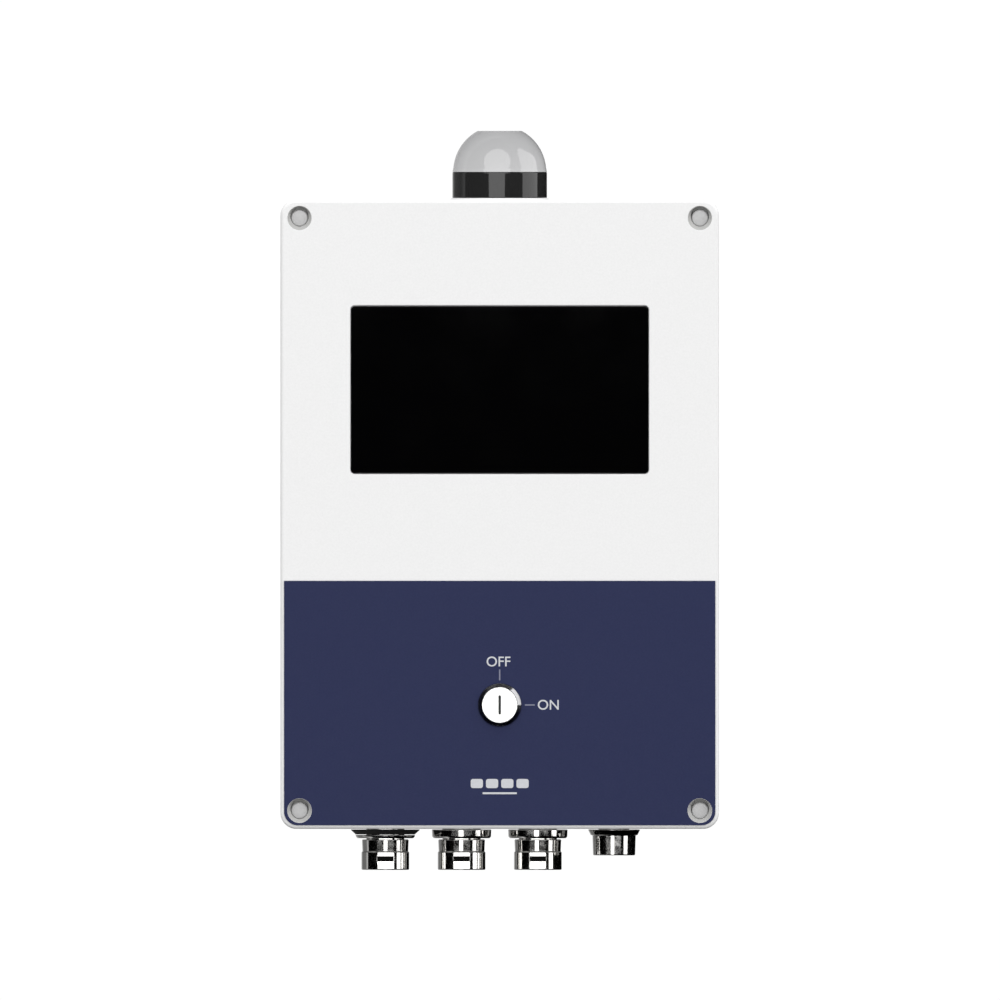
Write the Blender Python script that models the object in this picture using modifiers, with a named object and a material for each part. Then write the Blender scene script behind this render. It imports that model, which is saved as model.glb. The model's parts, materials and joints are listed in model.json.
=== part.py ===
"""Wall-mounted string inverter with a display, key switch, signal beacon and round connectors.

Metres, +Z up. The origin is on the wall, at the middle of the wall bracket's back face.
The front of the enclosure faces -Y, and the wall is the plane y = 0.
"""
import math

import bmesh
import bpy
from mathutils import Matrix, Vector

MM = 0.001
GAP = 0.3 * MM          # clearance kept between touching pieces
MERGE = 0.00001         # merge distance of every modifier that merges

# Segments around a turned piece
ROUND = 24
MEDIUM = 16
SMALL = 8

# Depths, measured from the wall (y = 0) towards the front (-Y)
BRACKET_THICKNESS = 3 * MM
FIN_BACK = -4 * MM
FIN_LENGTH = 22 * MM
SINK_PLATE = 8 * MM
SINK_FRONT = FIN_BACK - FIN_LENGTH - SINK_PLATE
BASE_BACK = SINK_FRONT - GAP

# Enclosure: a die-cast 230 x 330 x 110 box, split into a deep base and a shallow lid
BOX_WIDTH = 230 * MM
BOX_HEIGHT = 330 * MM
BOX_DEPTH = 110 * MM
BASE_DEPTH = 84 * MM
BOX_CORNER = 9 * MM
LID_EDGE = 1.8 * MM
WALL = 4 * MM
BASE_FRONT = BASE_BACK - BASE_DEPTH
LID_BACK = BASE_FRONT - GAP
LID_FRONT = BASE_BACK - BOX_DEPTH
LID_INSIDE = LID_FRONT + WALL
BASE_FLOOR = BASE_BACK - WALL
BOX_TOP = BOX_HEIGHT / 2
BOX_BOTTOM = -BOX_HEIGHT / 2
BOX_MIDDLE = BASE_BACK - BOX_DEPTH / 2     # depth of the beacon and of the connectors

# Lid screws, on a 210 x 310 pattern
SCREW_X = 105 * MM
SCREW_Z = 155 * MM
SCREW_HOLE = 3.3 * MM
SCREW_RECESS = 6.3 * MM
SCREW_RECESS_DEPTH = 6 * MM
SCREW_HEAD = 4.4 * MM
SCREW_HEAD_HEIGHT = 4.6 * MM
SCREW_SHANK = 3 * MM
SCREW_BOSS = 8.2 * MM
THREAD_DEPTH = 18 * MM

# Lid seal, lying in a groove in the base's rim
SEAL_WIDTH = 1.6 * MM
SEAL_GROOVE = 1.5 * MM
SEAL_INSET = WALL / 2

# Display
WINDOW_WIDTH = 156 * MM
WINDOW_HEIGHT = 87.8 * MM
WINDOW_Z = 65.3 * MM
WINDOW_CORNER = 2 * MM
WINDOW_THICKNESS = 1.5 * MM
WINDOW_SEAT = 2.6 * MM
WINDOW_LEDGE = 3 * MM
WINDOW_TAPE = 0.5 * MM
MODULE_WIDTH = 165 * MM
MODULE_HEIGHT = 100 * MM
MODULE_DEPTH = 6 * MM
BOARD = 1.6 * MM        # thickness of every circuit board

# Lower front overlay
OVERLAY_TOP = -34.9 * MM
OVERLAY_INSET = 1.9 * MM
OVERLAY_CORNER = 7.1 * MM
OVERLAY_THICKNESS = 0.4 * MM
OVERLAY_SCREW_HOLE = 6.5 * MM
OVERLAY_BACK = LID_FRONT - GAP
OVERLAY_FRONT = OVERLAY_BACK - OVERLAY_THICKNESS

# Key switch
KEY_Z = -100 * MM
KEY_BEZEL = 11.4 * MM
KEY_BEZEL_HEIGHT = 2.5 * MM
KEY_BEZEL_SLOPE = 1.5 * MM
KEY_DISC = 9.35 * MM
KEY_DISC_HEIGHT = 1.7 * MM
KEY_SHAFT = 7 * MM
KEY_BARREL = 10 * MM
KEY_BARREL_END = -120 * MM
KEY_SLOT = (1.2 * MM, 7 * MM, 10 * MM)
KEY_TURN = math.radians(90)
CAM_LOW = 6 * MM
CAM_NECK = 5 * MM
PLUNGER_TRAVEL = 2.5 * MM
CAM_THICKNESS = 6 * MM
PLUNGER = 2 * MM
PLUNGER_LENGTH = 17 * MM

# Beacon on the top face
BEACON_RADIUS = 24.8 * MM
BEACON_SEAL = 1 * MM
BEACON_BASE_TOP = BOX_TOP + 14.6 * MM
BEACON_CROWN = BOX_TOP + 36.1 * MM
BEACON_LIP = 1.5 * MM
BEACON_STUD = 11 * MM
BEACON_STUD_LENGTH = 13 * MM
DOME_WALL = 2 * MM

# Connectors under the bottom face
CONNECTOR_PITCH = 40 * MM
POWER_FLANGE = 15.6 * MM
POWER_COLLAR = 4.9 * MM
POWER_LENGTH = 21.5 * MM
POWER_RING = 12.5 * MM
POWER_CORE = 10 * MM
POWER_BORE = 8 * MM
POWER_THREAD = 15 * MM      # length of the thread above the bottom face
SEAL_TOP_RADIUS = 18 * MM
SEAL_LOW_RADIUS = 15.8 * MM
SEAL_HEIGHT = 2.9 * MM
WINDOW_SLOT = (10 * MM, 2.6 * MM)
WINDOW_SLOT_DEPTH = 15.6 * MM
SIGNAL_FLANGE = 13.6 * MM
SIGNAL_COLLAR = 3.2 * MM
SIGNAL_LENGTH = 13.9 * MM
SIGNAL_BODY = 11.25 * MM
SIGNAL_THREAD = 8 * MM
SIGNAL_BORE = 8.6 * MM

# Heat sink and wall bracket
SINK_WIDTH = 200 * MM
SINK_HEIGHT = 284 * MM
FIN_PITCH = 12 * MM
FIN_THICKNESS = 2.4 * MM
FIN_COUNT = 17
BRACKET_WIDTH = 150 * MM
HOOK_Z = 96 * MM
HOOK_WIDTH = 120 * MM
HOOK_REACH = 14 * MM
HOOK_LIP = 12 * MM
BRACKET_RISE = 34 * MM      # height of the plate above the hook
WALL_HOLE_X = 60 * MM
WALL_HOLE_Z = 70 * MM
WALL_HOLE = 3.5 * MM
SINK_SCREW_X = 45 * MM
SINK_SCREW = 2 * MM
SINK_SCREW_HOLE = 2.3 * MM
SINK_SCREW_HEAD = 4 * MM
SINK_SCREW_HEAD_HEIGHT = 2.8 * MM
SINK_SCREW_SOCKET = 2.5 * MM
SINK_SCREW_LENGTH = 12 * MM

# Electronics on the power board, which stands off the base's floor
POWER_BOARD_BACK = BASE_FLOOR - 11 * MM
POWER_BOARD_FRONT = POWER_BOARD_BACK - BOARD
PART_BACK = POWER_BOARD_FRONT - GAP
STANDOFF_X = 85 * MM
STANDOFF_Z = 100 * MM
STANDOFF_SHIFT = -15 * MM
STANDOFF_RADIUS = 4 * MM
STANDOFF_LENGTH = 12 * MM
BOARD_HALF_WIDTH = 98 * MM
BOARD_ENDS = (-125 * MM, 95 * MM)
LINK_CAPACITORS = 3
CAPACITOR_PITCH = 42 * MM
CAPACITOR_RADIUS = 15 * MM
CAPACITOR_HEIGHT = 42 * MM
CAPACITOR_Z = 62 * MM
INDUCTOR_Z = -2 * MM
RELAY_HALF_WIDTH = 15 * MM
RELAY_HEIGHT = 20 * MM
RELAY_ENDS = (-66 * MM, -50 * MM)
TERMINAL_ENDS = (-112 * MM, -90 * MM)
TERMINAL_WIDTH = 62 * MM
TERMINAL_HEIGHT = 20 * MM
TERMINAL_WAYS = 4
CABLE = 4 * MM
CABLE_START = BOX_BOTTOM + 16.5 * MM
CABLE_END = -114.5 * MM
RIBBON_X = -52 * MM
RIBBON_Z = -40 * MM
RIBBON_WIDTH = 26 * MM
RIBBON_THICKNESS = 1 * MM
RIBBON_STEP = 6 * MM

# Boards behind the lid
DISPLAY_MODULE_FRONT = LID_INSIDE + GAP
DISPLAY_BOARD_FRONT = DISPLAY_MODULE_FRONT + MODULE_DEPTH + GAP
CONTROL_Z = -32 * MM
DISPLAY_BOARD_HALF = (94 * MM, 56 * MM)
CONTROL_BOARD_HALF = (75 * MM, 30 * MM)

parts = None
cutters = None


# ---------------------------------------------------------------- scene and materials

def start_scene():
    global parts, cutters
    for old in list(bpy.data.objects):
        bpy.data.objects.remove(old, do_unlink=True)
    parts = bpy.data.collections.new("string_inverter")
    cutters = bpy.data.collections.new("cutters")
    bpy.context.scene.collection.children.link(parts)
    bpy.context.scene.collection.children.link(cutters)


def make_material(name, colour, roughness, metallic=0.0):
    made = bpy.data.materials.new(name)
    made.use_nodes = True
    shader = made.node_tree.nodes["Principled BSDF"]
    shader.inputs["Base Color"].default_value = (*colour, 1.0)
    shader.inputs["Roughness"].default_value = roughness
    shader.inputs["Metallic"].default_value = metallic
    return made


def make_materials():
    return {
        "powder_coat": make_material("powder_coat", (0.80, 0.80, 0.79), 0.5),
        "overlay_blue": make_material("overlay_blue", (0.032, 0.039, 0.095), 0.45),
        "black_glass": make_material("black_glass", (0.004, 0.004, 0.005), 0.08),
        "black_plastic": make_material("black_plastic", (0.015, 0.015, 0.017), 0.35),
        "smoke_plastic": make_material("smoke_plastic", (0.45, 0.45, 0.46), 0.2),
        "nickel": make_material("nickel", (0.75, 0.74, 0.72), 0.2, 1.0),
        "zinc_steel": make_material("zinc_steel", (0.55, 0.55, 0.56), 0.35, 1.0),
        "aluminium": make_material("aluminium", (0.70, 0.71, 0.72), 0.4, 1.0),
        "rubber": make_material("rubber", (0.02, 0.02, 0.02), 0.8),
        "board_green": make_material("board_green", (0.02, 0.16, 0.07), 0.5),
        "copper": make_material("copper", (0.72, 0.36, 0.18), 0.35, 1.0),
        "capacitor_sleeve": make_material("capacitor_sleeve", (0.03, 0.05, 0.12), 0.3),
        "light_plastic": make_material("light_plastic", (0.70, 0.70, 0.68), 0.4),
        "relay_plastic": make_material("relay_plastic", (0.05, 0.10, 0.22), 0.4),
        "wire_grey": make_material("wire_grey", (0.25, 0.25, 0.26), 0.6),
    }


# ---------------------------------------------------------------- shapes

def add_part(name, mesh, material=None):
    """Links a mesh as a named part, or as a plain helper when it has no material."""
    made = bpy.data.objects.new(name, mesh)
    parts.objects.link(made)
    if material is not None:
        mesh.materials.clear()
        mesh.materials.append(material)
    return made


def finish_mesh(name, shape, material, smooth=False):
    mesh = bpy.data.meshes.new(name)
    shape.to_mesh(mesh)
    shape.free()
    if smooth:
        mesh.shade_smooth()
        mesh.set_sharp_from_angle(angle=math.radians(35))
    return add_part(name, mesh, material)


def box(name, x, y, z, material=None):
    """A box between the given ends: x, y and z are (low, high) pairs."""
    shape = bmesh.new()
    bmesh.ops.create_cube(shape, size=1.0)
    size = Vector((x[1] - x[0], y[1] - y[0], z[1] - z[0]))
    middle = Vector((x[0] + x[1], y[0] + y[1], z[0] + z[1])) / 2
    bmesh.ops.scale(shape, vec=size, verts=shape.verts)
    made = finish_mesh(name, shape, material)
    made.location = middle
    return made


def rounded_box(name, width, height, y, corner, material=None, z_middle=0.0, front_edge=0.0):
    """A box centred on x = 0 whose four edges along Y are rounded, between y[0] and y[1]."""
    shape = bmesh.new()
    bmesh.ops.create_cube(shape, size=1.0)
    bmesh.ops.scale(shape, vec=(width, y[1] - y[0], height), verts=shape.verts)
    along_y = [edge for edge in shape.edges
               if abs(edge.verts[0].co.y - edge.verts[1].co.y) > 0.5 * (y[1] - y[0])]
    bmesh.ops.bevel(shape, geom=along_y, offset=corner, segments=4, profile=0.5,
                    affect="EDGES", clamp_overlap=True)
    if front_edge:
        front = min(vertex.co.y for vertex in shape.verts)
        rim = [edge for edge in shape.edges
               if all(abs(vertex.co.y - front) < MERGE for vertex in edge.verts)]
        bmesh.ops.bevel(shape, geom=rim, offset=front_edge, segments=2, profile=0.5,
                        affect="EDGES", clamp_overlap=True)
    made = finish_mesh(name, shape, material)
    made.location = (0.0, (y[0] + y[1]) / 2, z_middle)
    return made


def cylinder(name, radius, length, material=None, segments=MEDIUM, axis="Z", at=(0, 0, 0)):
    """A cylinder centred at a point, along X, Y or Z."""
    shape = bmesh.new()
    bmesh.ops.create_cone(shape, cap_ends=True, segments=segments, radius1=radius,
                          radius2=radius, depth=length)
    made = finish_mesh(name, shape, material, smooth=True)
    made.location = at
    made.rotation_euler = axis_rotation(axis)
    return made


def hexagon(name, flats, length, material=None, at=(0, 0, 0), axis="Z"):
    """A hexagonal prism with two corners on its own X axis."""
    shape = bmesh.new()
    corner = flats / math.sqrt(3)
    bmesh.ops.create_cone(shape, cap_ends=True, segments=6, radius1=corner,
                          radius2=corner, depth=length)
    bmesh.ops.rotate(shape, verts=shape.verts, cent=(0, 0, 0),
                     matrix=Matrix.Rotation(math.radians(30), 3, "Z"))
    made = finish_mesh(name, shape, material)
    made.location = at
    made.rotation_euler = axis_rotation(axis)
    return made


def axis_rotation(axis):
    """Turns a piece made along +Z so that its top points along +X, -Y or +Z."""
    return {"X": (0.0, math.radians(90), 0.0),
            "Y": (math.radians(90), 0.0, 0.0),
            "Z": (0.0, 0.0, 0.0)}[axis]


def turned(name, profile, material=None, segments=ROUND, axis="Z", at=(0, 0, 0), ring=False):
    """Turns a profile of (radius, height) points, listed from top to bottom on the outside."""
    mesh = bpy.data.meshes.new(name)
    shape = bmesh.new()
    points = [shape.verts.new((radius, 0.0, height)) for radius, height in profile]
    pairs = list(zip(points, points[1:]))
    if ring:
        pairs.append((points[-1], points[0]))
    for first, second in pairs:
        shape.edges.new((first, second))
    shape.to_mesh(mesh)
    shape.free()
    made = add_part(name, mesh, material)
    made.location = at
    made.rotation_euler = axis_rotation(axis)
    screw = made.modifiers.new("turn", "SCREW")
    screw.angle = 2 * math.pi
    screw.steps = segments
    screw.render_steps = segments
    screw.use_merge_vertices = True
    screw.merge_threshold = MERGE
    screw.use_smooth_shade = True
    return made


def arc(centre, radius, start, end, steps):
    """Points along an arc, from one angle to another in degrees."""
    points = []
    for step in range(steps + 1):
        angle = math.radians(start + (end - start) * step / steps)
        points.append((centre[0] + radius * math.cos(angle), centre[1] + radius * math.sin(angle)))
    return points


def flat_outline(name, points, thickness, material=None, rotation=(0, 0, 0), at=(0, 0, 0)):
    """A closed flat outline with a thickness, made from a curve and turned into a mesh."""
    curve = bpy.data.curves.new(name + "_outline", "CURVE")
    curve.dimensions = "2D"
    curve.fill_mode = "BOTH"
    curve.extrude = thickness / 2
    spline = curve.splines.new("POLY")
    spline.points.add(len(points) - 1)
    for point, (x, y) in zip(spline.points, points):
        point.co = (x, y, 0.0, 1.0)
    spline.use_cyclic_u = True
    return curve_to_mesh(name, curve, material, rotation, at)


def tube(name, points, radius, material, resolution=2):
    """A round wire through the points, with closed ends."""
    curve = bpy.data.curves.new(name + "_path", "CURVE")
    curve.dimensions = "3D"
    curve.bevel_depth = radius
    curve.bevel_resolution = resolution
    curve.use_fill_caps = True
    spline = curve.splines.new("POLY")
    spline.points.add(len(points) - 1)
    for point, co in zip(spline.points, points):
        point.co = (*co, 1.0)
    return curve_to_mesh(name, curve, material, (0, 0, 0), (0, 0, 0))


def curve_to_mesh(name, curve, material, rotation, at):
    holder = bpy.data.objects.new(name + "_curve", curve)
    holder.rotation_euler = rotation
    holder.location = at
    parts.objects.link(holder)
    bpy.context.view_layer.update()
    depsgraph = bpy.context.evaluated_depsgraph_get()
    mesh = bpy.data.meshes.new_from_object(holder.evaluated_get(depsgraph))
    mesh.name = name
    shape = bmesh.new()
    shape.from_mesh(mesh)
    bmesh.ops.remove_doubles(shape, verts=shape.verts, dist=MERGE)
    bmesh.ops.recalc_face_normals(shape, faces=shape.faces)
    shape.to_mesh(mesh)
    shape.free()
    made = add_part(name, mesh, material)
    made.matrix_world = holder.matrix_world.copy()
    bpy.data.objects.remove(holder, do_unlink=True)
    return made


def combine(target, tool, operation="DIFFERENCE"):
    """Cuts a tool out of a part, or joins it on."""
    step = target.modifiers.new(tool.name, "BOOLEAN")
    step.operation = operation
    step.object = tool
    tool.hide_render = True
    tool.display_type = "WIRE"
    parts.objects.unlink(tool)
    cutters.objects.link(tool)


def join(target, *tools):
    for tool in tools:
        combine(target, tool, "UNION")


def cut(target, *tools):
    for tool in tools:
        combine(target, tool, "DIFFERENCE")


def corners(x, z):
    """The four corner places of a rectangle, with a name for each."""
    return (("top_left", -x, z), ("top_right", x, z), ("bottom_left", -x, -z), ("bottom_right", x, -z))


# ---------------------------------------------------------------- wall bracket and heat sink

def build_bracket(material):
    """A folded steel plate: a hook strip at the top and a screw flange under the heat sink."""
    flange_top = -SINK_HEIGHT / 2 - GAP
    flange_bottom = flange_top - BRACKET_THICKNESS
    plate = box("wall_bracket", (-BRACKET_WIDTH / 2, BRACKET_WIDTH / 2), (-BRACKET_THICKNESS, 0),
                (flange_bottom, HOOK_Z + BRACKET_RISE), material)
    half = HOOK_WIDTH / 2
    flange = box("bracket_flange", (-half, half), (SINK_FRONT, -BRACKET_THICKNESS / 2),
                 (flange_bottom + 0.01 * MM, flange_top), None)
    shelf = box("bracket_shelf", (-half, half), (-HOOK_REACH, -BRACKET_THICKNESS / 2),
                (HOOK_Z, HOOK_Z + BRACKET_THICKNESS), None)
    lip = box("bracket_lip", (-half, half), (-HOOK_REACH, -HOOK_REACH + BRACKET_THICKNESS),
              (HOOK_Z + BRACKET_THICKNESS / 2, HOOK_Z + HOOK_LIP), None)
    join(plate, flange, shelf, lip)
    for name, x, z in corners(WALL_HOLE_X, WALL_HOLE_Z):
        cut(plate, cylinder("bracket_wall_hole_" + name, WALL_HOLE, 10 * MM, None, SMALL, "Y", (x, 0, z)))
    screw_y = SINK_FRONT + SINK_PLATE / 2
    head = SINK_SCREW_HEAD_HEIGHT
    for side, x in (("left", -SINK_SCREW_X), ("right", SINK_SCREW_X)):
        cut(plate, cylinder("bracket_screw_hole_" + side, SINK_SCREW_HOLE, 12 * MM, None, SMALL, "Z",
                            (x, screw_y, flange_bottom)))
        screw = turned("bracket_screw_" + side,
                       [(0, SINK_SCREW_LENGTH), (SINK_SCREW, SINK_SCREW_LENGTH), (SINK_SCREW, 0),
                        (SINK_SCREW_HEAD, 0), (SINK_SCREW_HEAD, -head), (0, -head)],
                       MATERIALS["zinc_steel"], SMALL, "Z", (x, screw_y, flange_bottom - GAP))
        cut(screw, hexagon("bracket_screw_socket_" + side, SINK_SCREW_SOCKET, 3 * MM, None,
                           (x, screw_y, flange_bottom - GAP - head)))


def build_heat_sink(material):
    """An extruded comb: a plate against the enclosure and upright fins towards the wall."""
    half = SINK_WIDTH / 2
    fin_root = SINK_FRONT + SINK_PLATE
    points = [(-half, SINK_FRONT), (half, SINK_FRONT), (half, fin_root)]
    for index in reversed(range(FIN_COUNT)):
        x = (index - (FIN_COUNT - 1) / 2) * FIN_PITCH
        for side, y in ((1, fin_root), (1, FIN_BACK), (-1, FIN_BACK), (-1, fin_root)):
            points.append((x + side * FIN_THICKNESS / 2, y))
    points.append((-half, fin_root))
    sink = flat_outline("heat_sink", points, SINK_HEIGHT, material)
    reach = half + 1 * MM
    lip_back = -HOOK_REACH + BRACKET_THICKNESS + GAP
    shelf_top = HOOK_Z + BRACKET_THICKNESS + GAP
    entry = box("hook_entry", (-reach, reach), (-HOOK_REACH - GAP, FIN_BACK + 1 * MM),
                (HOOK_Z - 10 * MM, shelf_top))
    pocket = box("hook_pocket", (-reach, reach), (-HOOK_REACH - GAP, lip_back),
                 (shelf_top - 1 * MM, HOOK_Z + HOOK_LIP + GAP))
    cut(sink, entry, pocket)
    for side, x in (("left", -SINK_SCREW_X), ("right", SINK_SCREW_X)):
        cut(sink, cylinder("sink_screw_hole_" + side, SINK_SCREW_HOLE, 30 * MM, None, SMALL, "Z",
                           (x, SINK_FRONT + SINK_PLATE / 2, -SINK_HEIGHT / 2)))


# ---------------------------------------------------------------- enclosure

def build_base(material):
    base = rounded_box("base_casting", BOX_WIDTH, BOX_HEIGHT, (BASE_FRONT, BASE_BACK), BOX_CORNER, material)
    cut(base, rounded_box("base_hollow", BOX_WIDTH - 2 * WALL, BOX_HEIGHT - 2 * WALL,
                          (BASE_FRONT - 5 * MM, BASE_FLOOR), BOX_CORNER - WALL))
    for name, x, z in corners(SCREW_X, SCREW_Z):
        join(base, cylinder("base_boss_" + name, SCREW_BOSS, BASE_DEPTH - 2.5 * MM, None, MEDIUM, "Y",
                            (x, (BASE_FRONT + BASE_BACK) / 2 - 1 * MM, z)))
    standoff_middle = POWER_BOARD_BACK + 2 * GAP + STANDOFF_LENGTH / 2
    for name, x, z in corners(STANDOFF_X, STANDOFF_Z):
        join(base, cylinder("board_standoff_" + name, STANDOFF_RADIUS, STANDOFF_LENGTH, None, SMALL, "Y",
                            (x, standoff_middle, z + STANDOFF_SHIFT)))
    groove = BOX_WIDTH - 2 * SEAL_INSET
    tall = BOX_HEIGHT - 2 * SEAL_INSET
    cut(base, seal_ring("seal_groove", groove, tall, SEAL_WIDTH / 2 + GAP,
                        (BASE_FRONT - 1 * MM, BASE_FRONT + SEAL_GROOVE), None))
    for name, x, z in corners(SCREW_X, SCREW_Z):
        cut(base, cylinder("base_thread_" + name, SCREW_HOLE, 2 * THREAD_DEPTH, None, 12, "Y",
                           (x, BASE_FRONT, z)))
    cut(base, cylinder("beacon_hole", BEACON_STUD + GAP, 4 * WALL, None, MEDIUM, "Z",
                       (0, BOX_MIDDLE, BOX_TOP)))
    for index in range(3):
        cut(base, cylinder("power_hole_%d" % (index + 1), POWER_CORE + GAP, 4 * WALL, None, MEDIUM, "Z",
                           (connector_x(index), BOX_MIDDLE, BOX_BOTTOM)))
    cut(base, cylinder("signal_hole", SIGNAL_THREAD + GAP, 4 * WALL, None, MEDIUM, "Z",
                       (connector_x(3), BOX_MIDDLE, BOX_BOTTOM)))


def seal_ring(name, width, height, half, y, material):
    """A frame whose centre line is the given rounded rectangle and which is twice half wide."""
    corner = BOX_CORNER - SEAL_INSET
    ring = rounded_box(name, width + 2 * half, height + 2 * half, y, corner + half, material)
    hole = rounded_box(name + "_inside", width - 2 * half, height - 2 * half,
                       (y[0] - 1 * MM, y[1] + 1 * MM), corner - half)
    cut(ring, hole)
    return ring


def build_seal(material):
    seal_ring("lid_gasket", BOX_WIDTH - 2 * SEAL_INSET, BOX_HEIGHT - 2 * SEAL_INSET, SEAL_WIDTH / 2,
              (LID_BACK + GAP, BASE_FRONT + SEAL_GROOVE - GAP), material)


def build_lid(material):
    lid = rounded_box("lid_casting", BOX_WIDTH, BOX_HEIGHT, (LID_FRONT, LID_BACK), BOX_CORNER, material,
                      0.0, LID_EDGE)
    cut(lid, rounded_box("lid_hollow", BOX_WIDTH - 2 * WALL, BOX_HEIGHT - 2 * WALL,
                         (LID_INSIDE, LID_BACK + 5 * MM), BOX_CORNER - WALL))
    for name, x, z in corners(SCREW_X, SCREW_Z):
        y = (LID_BACK - 1 * MM, LID_FRONT + LID_EDGE)
        join(lid, cylinder("lid_boss_" + name, SCREW_BOSS, y[0] - y[1], None, MEDIUM, "Y",
                           (x, (y[0] + y[1]) / 2, z)))
    for name, x, z in corners(88 * MM, 50 * MM):
        join(lid, standoff("display_standoff_" + name, x, z + WINDOW_Z, DISPLAY_BOARD_FRONT + GAP))
    for name, x, z in corners(68 * MM, 24 * MM):
        join(lid, standoff("control_standoff_" + name, x, z + CONTROL_Z, DISPLAY_BOARD_FRONT + GAP))
    cut(lid, rounded_box("window_seat", WINDOW_WIDTH + 2 * GAP, WINDOW_HEIGHT + 2 * GAP,
                         (LID_FRONT - 5 * MM, LID_FRONT + WINDOW_SEAT), WINDOW_CORNER + GAP, None, WINDOW_Z))
    cut(lid, box("window_opening", (-WINDOW_WIDTH / 2 + WINDOW_LEDGE, WINDOW_WIDTH / 2 - WINDOW_LEDGE),
                 (LID_FRONT - 5 * MM, LID_INSIDE + 5 * MM),
                 (WINDOW_Z - WINDOW_HEIGHT / 2 + WINDOW_LEDGE, WINDOW_Z + WINDOW_HEIGHT / 2 - WINDOW_LEDGE)))
    for name, x, z in corners(SCREW_X, SCREW_Z):
        cut(lid, cylinder("lid_screw_hole_" + name, SCREW_HOLE, 80 * MM, None, 12, "Y", (x, LID_FRONT, z)))
        cut(lid, cylinder("lid_screw_recess_" + name, SCREW_RECESS, 2 * SCREW_RECESS_DEPTH, None, MEDIUM, "Y",
                          (x, LID_FRONT, z)))
    cut(lid, cylinder("key_hole", KEY_BARREL + GAP, 20 * MM, None, MEDIUM, "Y", (0, LID_FRONT, KEY_Z)))


def standoff(name, x, z, end):
    """A post on the lid's inner face, ending at a circuit board."""
    start = LID_INSIDE - 1 * MM
    return cylinder(name, 3 * MM, end - start - 2 * GAP, None, SMALL, "Y", (x, (start + end) / 2 - GAP, z))


def build_lid_screws(material):
    """Screws with plain capped heads, at the bottom of the lid's corner recesses."""
    for name, x, z in corners(SCREW_X, SCREW_Z):
        seat = LID_FRONT + SCREW_RECESS_DEPTH - GAP
        length = abs(seat - BASE_FRONT) + THREAD_DEPTH - 2 * MM
        turned("lid_screw_" + name,
               [(0, SCREW_HEAD_HEIGHT), (SCREW_HEAD - 0.4 * MM, SCREW_HEAD_HEIGHT),
                (SCREW_HEAD, SCREW_HEAD_HEIGHT - 0.4 * MM), (SCREW_HEAD, 0), (SCREW_SHANK, 0),
                (SCREW_SHANK, -length + 1 * MM), (SCREW_SHANK - 1 * MM, -length), (0, -length)],
               material, MEDIUM, "Y", (x, seat, z))


def build_overlay(material):
    """The printed foil on the lower part of the lid."""
    half = BOX_WIDTH / 2 - OVERLAY_INSET
    bottom = BOX_BOTTOM + OVERLAY_INSET
    corner = OVERLAY_CORNER
    points = [(-half, OVERLAY_TOP)]
    points += arc((-half + corner, bottom + corner), corner, 180, 270, 5)
    points += arc((half - corner, bottom + corner), corner, 270, 360, 5)
    points += [(half, OVERLAY_TOP)]
    overlay = flat_outline("lower_overlay", points, OVERLAY_THICKNESS, material, (math.radians(90), 0, 0),
                           (0, (OVERLAY_BACK + OVERLAY_FRONT) / 2, 0))
    cut(overlay, cylinder("overlay_key_hole", KEY_BARREL + GAP, 5 * MM, None, MEDIUM, "Y",
                          (0, OVERLAY_BACK, KEY_Z)))
    for side, x in (("left", -SCREW_X), ("right", SCREW_X)):
        cut(overlay, cylinder("overlay_screw_hole_" + side, OVERLAY_SCREW_HOLE, 5 * MM, None, MEDIUM, "Y",
                              (x, OVERLAY_BACK, -SCREW_Z)))


# ---------------------------------------------------------------- display

def build_display():
    glass_back = LID_FRONT + WINDOW_THICKNESS
    rounded_box("display_window", WINDOW_WIDTH, WINDOW_HEIGHT, (LID_FRONT, glass_back), WINDOW_CORNER,
                MATERIALS["black_glass"], WINDOW_Z)
    tape = rounded_box("display_gasket", WINDOW_WIDTH, WINDOW_HEIGHT,
                       (glass_back + GAP, glass_back + GAP + WINDOW_TAPE), WINDOW_CORNER,
                       MATERIALS["rubber"], WINDOW_Z)
    inner = 2 * WINDOW_LEDGE - 2 * GAP
    cut(tape, box("tape_inside", (-(WINDOW_WIDTH - inner) / 2, (WINDOW_WIDTH - inner) / 2),
                  (LID_FRONT, LID_INSIDE),
                  (WINDOW_Z - (WINDOW_HEIGHT - inner) / 2, WINDOW_Z + (WINDOW_HEIGHT - inner) / 2)))
    module_back = DISPLAY_MODULE_FRONT + MODULE_DEPTH
    rounded_box("display_module", MODULE_WIDTH, MODULE_HEIGHT, (DISPLAY_MODULE_FRONT, module_back),
                1 * MM, MATERIALS["light_plastic"], WINDOW_Z)
    board_depth = (DISPLAY_BOARD_FRONT, DISPLAY_BOARD_FRONT + BOARD)
    for name, half, middle in (("display_board", DISPLAY_BOARD_HALF, WINDOW_Z),
                               ("control_board", CONTROL_BOARD_HALF, CONTROL_Z)):
        box(name, (-half[0], half[0]), board_depth, (middle - half[1], middle + half[1]),
            MATERIALS["board_green"])


# ---------------------------------------------------------------- key switch

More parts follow.
